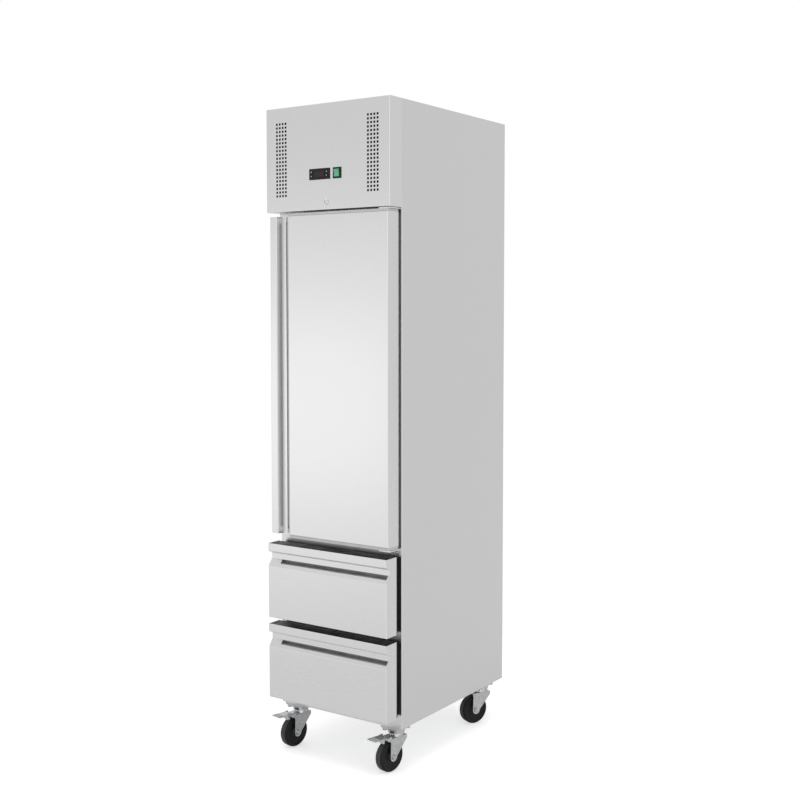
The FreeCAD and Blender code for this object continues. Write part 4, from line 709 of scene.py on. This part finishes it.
@dataclass
class Shell(SubAssembly):
    """Outer body of the cabinet with its rails and hinges."""

    screw_radius: float = 3.6 * MM
    screw_height: float = 10.0 * MM
    leaf_margin: float = 8.0 * MM
    leaf_sheet: float = 3.0 * MM
    bracket_round: float = 0.5 * MM

    def build(self) -> None:
        """Dress the outer sheets and fix the hinge brackets."""
        steel = self.finishes
        self.dress(steel.panel, "side_panel_left", "side_panel_right", "front_rails")
        self.dress(steel.sheet, "rear_panel", "base_panel", "machine_deck")
        self.dress(steel.foam, "insulation")
        self.dress(steel.zinc, "hinge_brackets", soften=self.bracket_round)
        self.hinge_screws()

    def hinge_screws(self) -> None:
        """Two screws in the leaf of the lower hinge bracket."""
        low, high = (Vector(corner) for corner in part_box("hinge_brackets"))
        leaf_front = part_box("front_rails")[0][1] - self.leaf_sheet
        height = low.z + self.screw_height
        across = (low.x + self.leaf_margin, high.x - self.leaf_margin)
        places = [Vector((x, leaf_front, height)) for x in across]
        self.screws("hinge_screws", places, self.screw_radius, "cabinet")


@dataclass
class Fascia(SubAssembly):
    """Machine cover with its vents, controller, switch and lock."""

    keys: tuple[str, ...] = ("button_set", "button_defrost", "button_up", "button_down")
    sheet: float = 1.2 * MM
    filter_depth: float = 5.0 * MM
    vent_width: float = 62.0 * MM
    vent_side: float = 31.0 * MM
    vent_edge: float = 36.0 * MM
    mark_height: float = 0.12 * MM
    digit_width: float = 8.0 * MM
    digit_height: float = 13.0 * MM
    digit_bar: float = 1.5 * MM
    digit_gap: float = 3.2 * MM
    bar_end: float = 1.6
    digits: int = 3
    bezel_round: float = 0.4 * MM
    key_round: float = 0.5 * MM
    lock_round: float = 0.3 * MM
    plug_round: float = 0.25 * MM
    wafer_levels: tuple[float, ...] = (-2.4 * MM, -0.8 * MM, 0.8 * MM, 2.4 * MM)
    wafer_half_width: float = 0.75 * MM
    wafer_half_height: float = 0.7 * MM
    wafer_depth: tuple[float, float] = (0.5 * MM, 3.0 * MM)
    wafer_round: float = 0.15 * MM
    filter_round: float = 1.5 * MM
    sign_reach: float = 2.0 * MM
    sign_pitch: float = 1.5 * MM
    sign_bar: float = 0.42 * MM
    rocker_tilt: float = math.radians(9.0)
    rocker_slope: float = math.atan2(2.2, 10.75)
    rocker_mark_front: float = 6.9 * MM
    rocker_mark_rise: float = 5.4 * MM
    rocker_mark_sink: float = 0.1 * MM
    on_half_width: float = 0.5 * MM
    on_half_height: float = 2.0 * MM
    off_radii: tuple[float, float] = (1.4 * MM, 2.1 * MM)
    off_steps: int = 28

    def build(self) -> None:
        """Dress the cover and add the dark vent sheets of painted shade, the digits and the marks."""
        finish = self.finishes
        self.dress(finish.front, "fascia_panel")
        self.dress(finish.black, "controller_housing", "switch_bezel", soften=self.bezel_round)
        self.dress(finish.window, "controller_display")
        self.dress(finish.key, *self.keys, soften=self.key_round)
        self.dress(finish.rocker, "switch_rocker", soften=self.key_round)
        self.dress(finish.chrome, "lock_housing", soften=self.lock_round)
        self.dress(finish.chrome, "lock_plug", soften=self.plug_round)
        self.keyway()
        self.vent_shade_sheets()
        self.display_digits()
        self.key_marks()
        self.rocker_marks()

    def keyway(self) -> None:
        """Black wafers inside the keyhole just under the face of the plug: lock parts whose black is painted
        shade for the deep keyhole.
        """
        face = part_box("lock_plug")[0][1]
        x, _, z = joint_named("lock_turn")["pos_m"]
        shape = Shape()
        for level in self.wafer_levels:
            shape.block(
                (x - self.wafer_half_width, face + self.wafer_depth[0], z + level - self.wafer_half_height),
                (x + self.wafer_half_width, face + self.wafer_depth[1], z + level + self.wafer_half_height),
                self.wafer_round,
            )
        # The wafers' black finish is painted shade of the keyhole.
        self.add(shape, "lock_wafers", self.finishes.black, "lock", "black_plastic")

    def vent_shade_sheets(self) -> None:
        """Near-black sheets behind both blocks of vent holes: painted shade that stands in for the shaded
        machine bay behind them.
        """
        low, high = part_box("fascia_panel")
        front = low[1] + self.sheet
        for side, name in ((-1.0, "vent_filter_left"), (1.0, "vent_filter_right")):
            outer = side * (high[0] - self.vent_side)
            inner = outer - side * self.vent_width
            shape = Shape()
            x = sorted((outer, inner))
            shape.block(
                (x[0], front, low[2] + self.vent_edge),
                (x[1], front + self.filter_depth, high[2] - self.vent_edge),
                self.filter_round,
            )
            self.add(shape, name, self.finishes.filter, "cabinet", "black_plastic")

    def display_digits(self) -> None:
        """Unlit segments behind the controller's window."""
        low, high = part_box("controller_display")
        middle = Vector(((low[0] + high[0]) / 2, low[1], (low[2] + high[2]) / 2))
        shape = Shape()
        pitch = self.digit_width + self.digit_gap
        for digit in range(self.digits):
            x = middle.x + (digit - (self.digits - 1) / 2) * pitch
            self.digit(shape, x, middle.y, middle.z)
        self.add(shape, "display_segments", self.finishes.segment, "cabinet", "display")

    def digit(self, shape: Shape, x: float, face: float, z: float) -> None:
        """Seven bars of one digit.

        Args:
            shape: mesh that takes the bars.
            x: middle of the digit across.
            face: front of the window.
            z: middle of the digit in height.
        """
        half_width = self.digit_width / 2
        half_height = self.digit_height / 2
        bar = self.digit_bar / 2
        depth = (face - self.mark_height, face)
        for level in (-half_height, 0.0, half_height):
            low = (x - half_width + bar, depth[0], z + level - bar)
            high = (x + half_width - bar, depth[1], z + level + bar)
            shape.block(low, high)
        for side in (-half_width, half_width):
            for start in (-half_height, 0.0):
                low = (x + side - bar, depth[0], z + start + self.bar_end * bar)
                high = (x + side + bar, depth[1], z + start + half_height - self.bar_end * bar)
                shape.block(low, high)

    def key_marks(self) -> None:
        """A raised sign on each controller key."""
        signs = {"button_up": 1.0, "button_down": -1.0}
        for node in self.keys:
            low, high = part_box(node)
            x = (low[0] + high[0]) / 2
            z = (low[2] + high[2]) / 2
            shape = Shape()
            reach = self.sign_reach
            if node in signs:
                tip = signs[node] * reach
                outline = [(x - reach, low[1], z - tip), (x + reach, low[1], z - tip), (x, low[1], z + tip)]
                shape.plate(outline, (0.0, -self.mark_height, 0.0))
            else:
                bars = 3 if node == "button_set" else 2
                for bar in range(bars):
                    level = z + (bar - (bars - 1) / 2) * self.sign_pitch
                    shape.block(
                        (x - reach, low[1] - self.mark_height, level - self.sign_bar),
                        (x + reach, low[1], level + self.sign_bar),
                    )
            self.add(shape, node + "_mark", self.finishes.mark, node, "key")

    def rocker_marks(self) -> None:
        """On and off signs on the two halves of the rocker."""
        pivot = Vector(joint_named("rocker_tilt")["pos_m"])
        turn = Matrix.Translation(pivot) @ Matrix.Rotation(self.rocker_tilt, 4, "X")
        for name, side in (("rocker_mark_on", 1.0), ("rocker_mark_off", -1.0)):
            shape = Shape()
            face = Matrix.Translation((0.0, -self.rocker_mark_front, side * self.rocker_mark_rise))
            face = face @ Matrix.Rotation(-side * self.rocker_slope, 4, "X")
            if side > 0:
                self.on_mark(shape)
            else:
                self.off_mark(shape)
            bmesh.ops.transform(shape.mesh, matrix=turn @ face, verts=shape.mesh.verts)
            self.add(shape, name, self.finishes.mark, "rocker", "green")

    def on_mark(self, shape: Shape) -> None:
        """Add a short bar.

        Args:
            shape: mesh that takes it.
        """
        low = (-self.on_half_width, -self.mark_height, -self.on_half_height)
        high = (self.on_half_width, self.rocker_mark_sink, self.on_half_height)
        shape.block(low, high)

    def off_mark(self, shape: Shape) -> None:
        """Add a ring.

        Args:
            shape: mesh that takes it.
        """
        inner, outer = self.off_radii
        bottom, top = -self.rocker_mark_sink, self.mark_height
        profile = [(inner, bottom), (inner, top), (outer, top), (outer, bottom), (inner, bottom)]
        shape.turned(profile, Vector((0.0, 0.0, 0.0)), TOWARDS_FRONT, self.off_steps)


@dataclass
class Door(SubAssembly):
    """The tall door."""

    moulding_round: float = 0.8 * MM

    def build(self) -> None:
        """Dress the door's skin, core, liner, caps and seal."""
        finish = self.finishes
        self.dress(finish.front, "door_skin")
        self.dress(finish.foam, "door_core")
        self.dress(finish.door_liner, "door_liner", soften=self.moulding_round)
        self.dress(finish.cap, "door_caps", soften=self.moulding_round)
        self.dress(finish.seal, "door_gasket", soften=self.moulding_round)


@dataclass
class Drawers(SubAssembly):
    """Both drawers with their rails."""

    names: tuple[str, str] = ("drawer_upper", "drawer_lower")
    slot_top: float = 52.0 * MM
    slot_bottom: float = 65.0 * MM
    slope: float = 0.75
    pocket_top: float = 42.0 * MM
    pocket_front: float = 19.5 * MM
    pocket_back: float = 36.0 * MM
    pocket_left: float = 44.0 * MM
    pocket_right: float = 6.0 * MM
    liner_sheet: float = 1.0 * MM
    liner_corner: float = 3.0 * MM
    back_round: float = 0.6 * MM
    seal_round: float = 0.8 * MM

    def build(self) -> None:
        """Dress each drawer and its rails."""
        finish = self.finishes
        for name in self.names:
            self.grip_liner(name)
            self.dress(finish.drawer, name + "_front")
            self.dress(finish.drawer_back, name + "_back", soften=self.back_round)
            self.dress(finish.seal, name + "_gasket", soften=self.seal_round)
            self.dress(finish.liner, name + "_box")
            self.dress(finish.zinc, name + "_middle_rails")
        self.dress(finish.zinc, "drawer_rails")

    def grip_liner(self, name: str) -> None:
        """Grey trough that lines a drawer's finger pocket: painted shade, a darker sheet put where the
        pocket only lies in shade.

        Args:
            name: the drawer.
        """
        low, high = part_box(name + "_front")
        left = low[0] + self.pocket_left
        right = high[0] - self.pocket_right
        wall = self.liner_sheet
        corner = self.liner_corner
        lip = (self.slot_bottom - self.slot_top) * self.slope
        outer = [
            (self.pocket_front - lip, self.slot_bottom),
            (self.pocket_back, self.slot_bottom),
            (self.pocket_back, self.pocket_top),
            (self.pocket_front, self.pocket_top),
        ]
        inner = [
            (self.pocket_front, self.pocket_top + wall),
            (self.pocket_back - corner, self.pocket_top + wall),
            (self.pocket_back - wall, self.pocket_top + corner),
            (self.pocket_back - wall, self.slot_bottom - corner),
            (self.pocket_back - corner, self.slot_bottom - wall),
            (self.pocket_front - lip + wall, self.slot_bottom - wall),
        ]
        shape = Shape()
        outline = [(left, low[1] + depth, high[2] - drop) for depth, drop in outer + inner]
        shape.plate(outline, (right - left, 0.0, 0.0))
        self.add(shape, name + "_grip_liner", self.finishes.pocket_shade, name, "black_plastic")


@dataclass
class Castors(SubAssembly):
    """The four castors."""

    places: tuple[str, ...] = ("front_left", "front_right", "rear_left", "rear_right")
    braked: tuple[str, ...] = ("front_left", "front_right")
    plate_round: float = 0.6 * MM
    fork_round: float = 0.7 * MM
    wheel_round: float = 1.2 * MM
    pedal_round: float = 0.5 * MM

    def build(self) -> None:
        """Dress the plates, forks, wheels and pedals."""
        finish = self.finishes
        self.dress(finish.castor, "castor_plates", soften=self.plate_round)
        for place in self.places:
            self.dress(finish.castor, "castor_fork_" + place, soften=self.fork_round)
            self.dress(self.wheel_rubber(place), "castor_wheel_" + place, soften=self.wheel_round)
        for place in self.braked:
            self.dress(finish.castor, "brake_pedal_" + place, soften=self.pedal_round)

    def wheel_rubber(self, place: str) -> WheelRubber:
        """The wheel's finish, set to the way that its axle points.

        Args:
            place: which castor.

        Returns:
            The finish.
        """
        axle = joint_named("roll_" + place)["axis"]
        name = "wheel_rubber_" + place
        return replace(self.finishes.tyre, name=name, turn=math.atan2(axle[1], axle[0]))


@dataclass
class MachineBay(SubAssembly):
    """Refrigeration unit above the ceiling."""

    unit_round: float = 0.8 * MM
    box_round: float = 1.0 * MM
    inlet_round: float = 0.6 * MM

    def build(self) -> None:
        """Dress the unit."""
        finish = self.finishes
        self.dress(finish.enamel, "compressor", "fan_motors", soften=self.unit_round)
        self.dress(finish.fin, "condenser_coil", "condenser_fan")
        self.dress(finish.sheet, "condenser_shroud")
        self.dress(finish.copper, "refrigerant_lines")
        self.dress(finish.cap, "electrical_box", soften=self.box_round)
        self.dress(finish.black, "power_inlet", soften=self.inlet_round)


@dataclass
class Interior(SubAssembly):
    """Storage space with its shelves and evaporator."""

    def build(self) -> None:
        """Dress the inside."""
        finish = self.finishes
        self.dress(finish.liner, "inner_liner", "evaporator_cover", "shelf_racks")
        self.dress(finish.wire, "wire_shelves")
        self.dress(finish.fin, "evaporator_coil", "evaporator_fan")


@dataclass(frozen=True)
class SoftBox:
    """One soft lamp of the studio."""

    name: str
    place: Point
    target: Point
    size: tuple[float, float]
    power: float

    def light(self) -> None:
        """Hang the lamp and turn it to its target."""
        data = bpy.data.lights.new(self.name, "AREA")
        data.shape = "RECTANGLE"
        data.size, data.size_y = self.size
        data.energy = self.power
        lamp = bpy.data.objects.new(self.name, data)
        lamp.location = self.place
        aim = Vector(self.target) - Vector(self.place)
        lamp.rotation_euler = aim.to_track_quat("-Z", "Y").to_euler()
        bpy.context.scene.collection.objects.link(lamp)


@dataclass(frozen=True)
class Studio:
    """Pale floor, soft lamps, white surroundings and the camera."""

    camera_place: Point = (2.2880, -3.2772, 1.4626)
    camera_turn: float = math.radians(34.405)
    camera_tilt: float = math.radians(86.717)
    focal_length: float = 53.175
    sensor: float = 36.0
    shift: tuple[float, float] = (0.0, -0.03)
    floor_radius: float = 1.9
    floor_fade: tuple[float, float] = (0.7, 1.7)
    floor_colour: Colour = (0.86, 0.86, 0.86)
    floor_lift: tuple[float, float] = (0.56, 0.33)
    floor_speckle: float = 60.0
    floor_spread: float = 0.01
    floor_roughness: float = 0.9
    floor_sides: int = 96
    fill: float = 0.5
    lamps: tuple[SoftBox, ...] = (
        SoftBox("front_left_softbox", (-2.3, -3.2, 0.85), (0.0, -0.3, 1.1), (1.5, 1.2), 2.2),
        SoftBox("front_left_wall", (-2.5, -3.5, 0.8), (0.0, -0.3, 0.8), (2.4, 2.6), 5.2),
        SoftBox("upper_left_softbox", (-2.3, -1.1, 3.7), (0.0, -0.35, 0.6), (1.5, 1.5), 3.2),
        SoftBox("front_right_softbox", (3.3, -3.0, 1.0), (0.1, -0.3, 0.95), (9.0, 4.6), 64.0),
        SoftBox("top_softbox", (0.4, -0.6, 4.0), (0.0, 0.0, 0.0), (2.4, 2.4), 40.0),
    )

    def build(self) -> None:
        """Set the stage, the lamps, the world and the camera."""
        scene = bpy.context.scene
        scene.view_settings.view_transform = "Standard"
        self.floor()
        for lamp in self.lamps:
            lamp.light()
        self.surroundings()
        data = bpy.data.cameras.new("camera")
        data.sensor_width = self.sensor
        data.lens = self.focal_length
        data.shift_x, data.shift_y = self.shift
        camera = bpy.data.objects.new("camera", data)
        camera.location = self.camera_place
        camera.rotation_euler = (self.camera_tilt, 0.0, self.camera_turn)
        scene.collection.objects.link(camera)
        scene.camera = camera

    def floor(self) -> None:
        """Round pale floor that fades into the white surroundings."""
        mesh = bmesh.new()
        bmesh.ops.create_circle(mesh, cap_ends=True, radius=self.floor_radius, segments=self.floor_sides)
        data = bpy.data.meshes.new("floor")
        mesh.to_mesh(data)
        mesh.free()
        floor = bpy.data.objects.new("floor", data)
        bpy.context.scene.collection.objects.link(floor)
        data.materials.append(self.floor_material())

    def floor_material(self) -> bpy.types.Material:
        """Pale matt floor, clear towards its rim.

        Returns:
            The material.
        """
        shader = Shader("pale_floor")
        speckle = shader.noise((self.floor_speckle,) * 3)
        shade = shader.shades(speckle, self.floor_colour, self.floor_spread)
        shader.join(shade, shader.surface.inputs["Base Color"])
        shader.constant(Roughness=self.floor_roughness, Emission_Color=WHITE)
        distance = shader.node("ShaderNodeVectorMath", operation="LENGTH")
        shader.join(shader.place((1.0, 1.0, 1.0)), distance.inputs[0])
        fade = shader.node("ShaderNodeMapRange", interpolation_type="SMOOTHSTEP")
        fade.inputs["From Min"].default_value = self.floor_fade[0]
        fade.inputs["From Max"].default_value = self.floor_fade[1]
        fade.inputs["To Min"].default_value = 1.0
        fade.inputs["To Max"].default_value = 0.0
        shader.join(distance.outputs["Value"], fade.inputs["Value"])
        shader.join(fade.outputs["Result"], shader.surface.inputs["Alpha"])
        path = shader.node("ShaderNodeLightPath")
        eye = shader.node("ShaderNodeMath", operation="MULTIPLY")
        eye.inputs[1].default_value = self.floor_lift[0]
        shader.join(path.outputs["Is Camera Ray"], eye.inputs[0])
        lift = shader.node("ShaderNodeMath", operation="MULTIPLY_ADD")
        lift.inputs[1].default_value = self.floor_lift[1]
        shader.join(path.outputs["Is Glossy Ray"], lift.inputs[0])
        shader.join(eye.outputs[0], lift.inputs[2])
        shader.join(lift.outputs[0], shader.surface.inputs["Emission Strength"])
        return shader.material

    def surroundings(self) -> None:
        """World that is white to the eye and in reflections, and a plain fill light elsewhere."""
        world = bpy.data.worlds.new("studio")
        bpy.context.scene.world = world
        world.use_nodes = True
        tree = world.node_tree
        tree.nodes.clear()
        path = tree.nodes.new("ShaderNodeLightPath")
        seen = tree.nodes.new("ShaderNodeMath")
        seen.operation = "MAXIMUM"
        tree.links.new(path.outputs["Is Glossy Ray"], seen.inputs[0])
        tree.links.new(path.outputs["Is Transmission Ray"], seen.inputs[1])
        shown = tree.nodes.new("ShaderNodeMath")
        shown.operation = "MAXIMUM"
        tree.links.new(path.outputs["Is Camera Ray"], shown.inputs[0])
        tree.links.new(seen.outputs[0], shown.inputs[1])
        fill = tree.nodes.new("ShaderNodeBackground")
        fill.inputs["Strength"].default_value = self.fill
        white = tree.nodes.new("ShaderNodeBackground")
        white.inputs["Color"].default_value = WHITE
        fill.inputs["Color"].default_value = WHITE
        choose = tree.nodes.new("ShaderNodeMixShader")
        out = tree.nodes.new("ShaderNodeOutputWorld")
        tree.links.new(shown.outputs[0], choose.inputs[0])
        tree.links.new(fill.outputs[0], choose.inputs[1])
        tree.links.new(white.outputs[0], choose.inputs[2])
        tree.links.new(choose.outputs[0], out.inputs["Surface"])


def main() -> None:
    """Dress every sub-assembly and set the studio."""
    logging.basicConfig(level=logging.INFO, format="%(name)s: %(message)s")
    palette = Palette()
    finishes = Finishes()
    for kind in (Shell, Fascia, Door, Drawers, Castors, MachineBay, Interior):
        part = kind(palette, finishes)
        part.build()
        for piece in part.pieces:
            LOG.info("%s: %s", kind.__name__, piece)
    Studio().build()


if __name__ == "__main__":
    main()
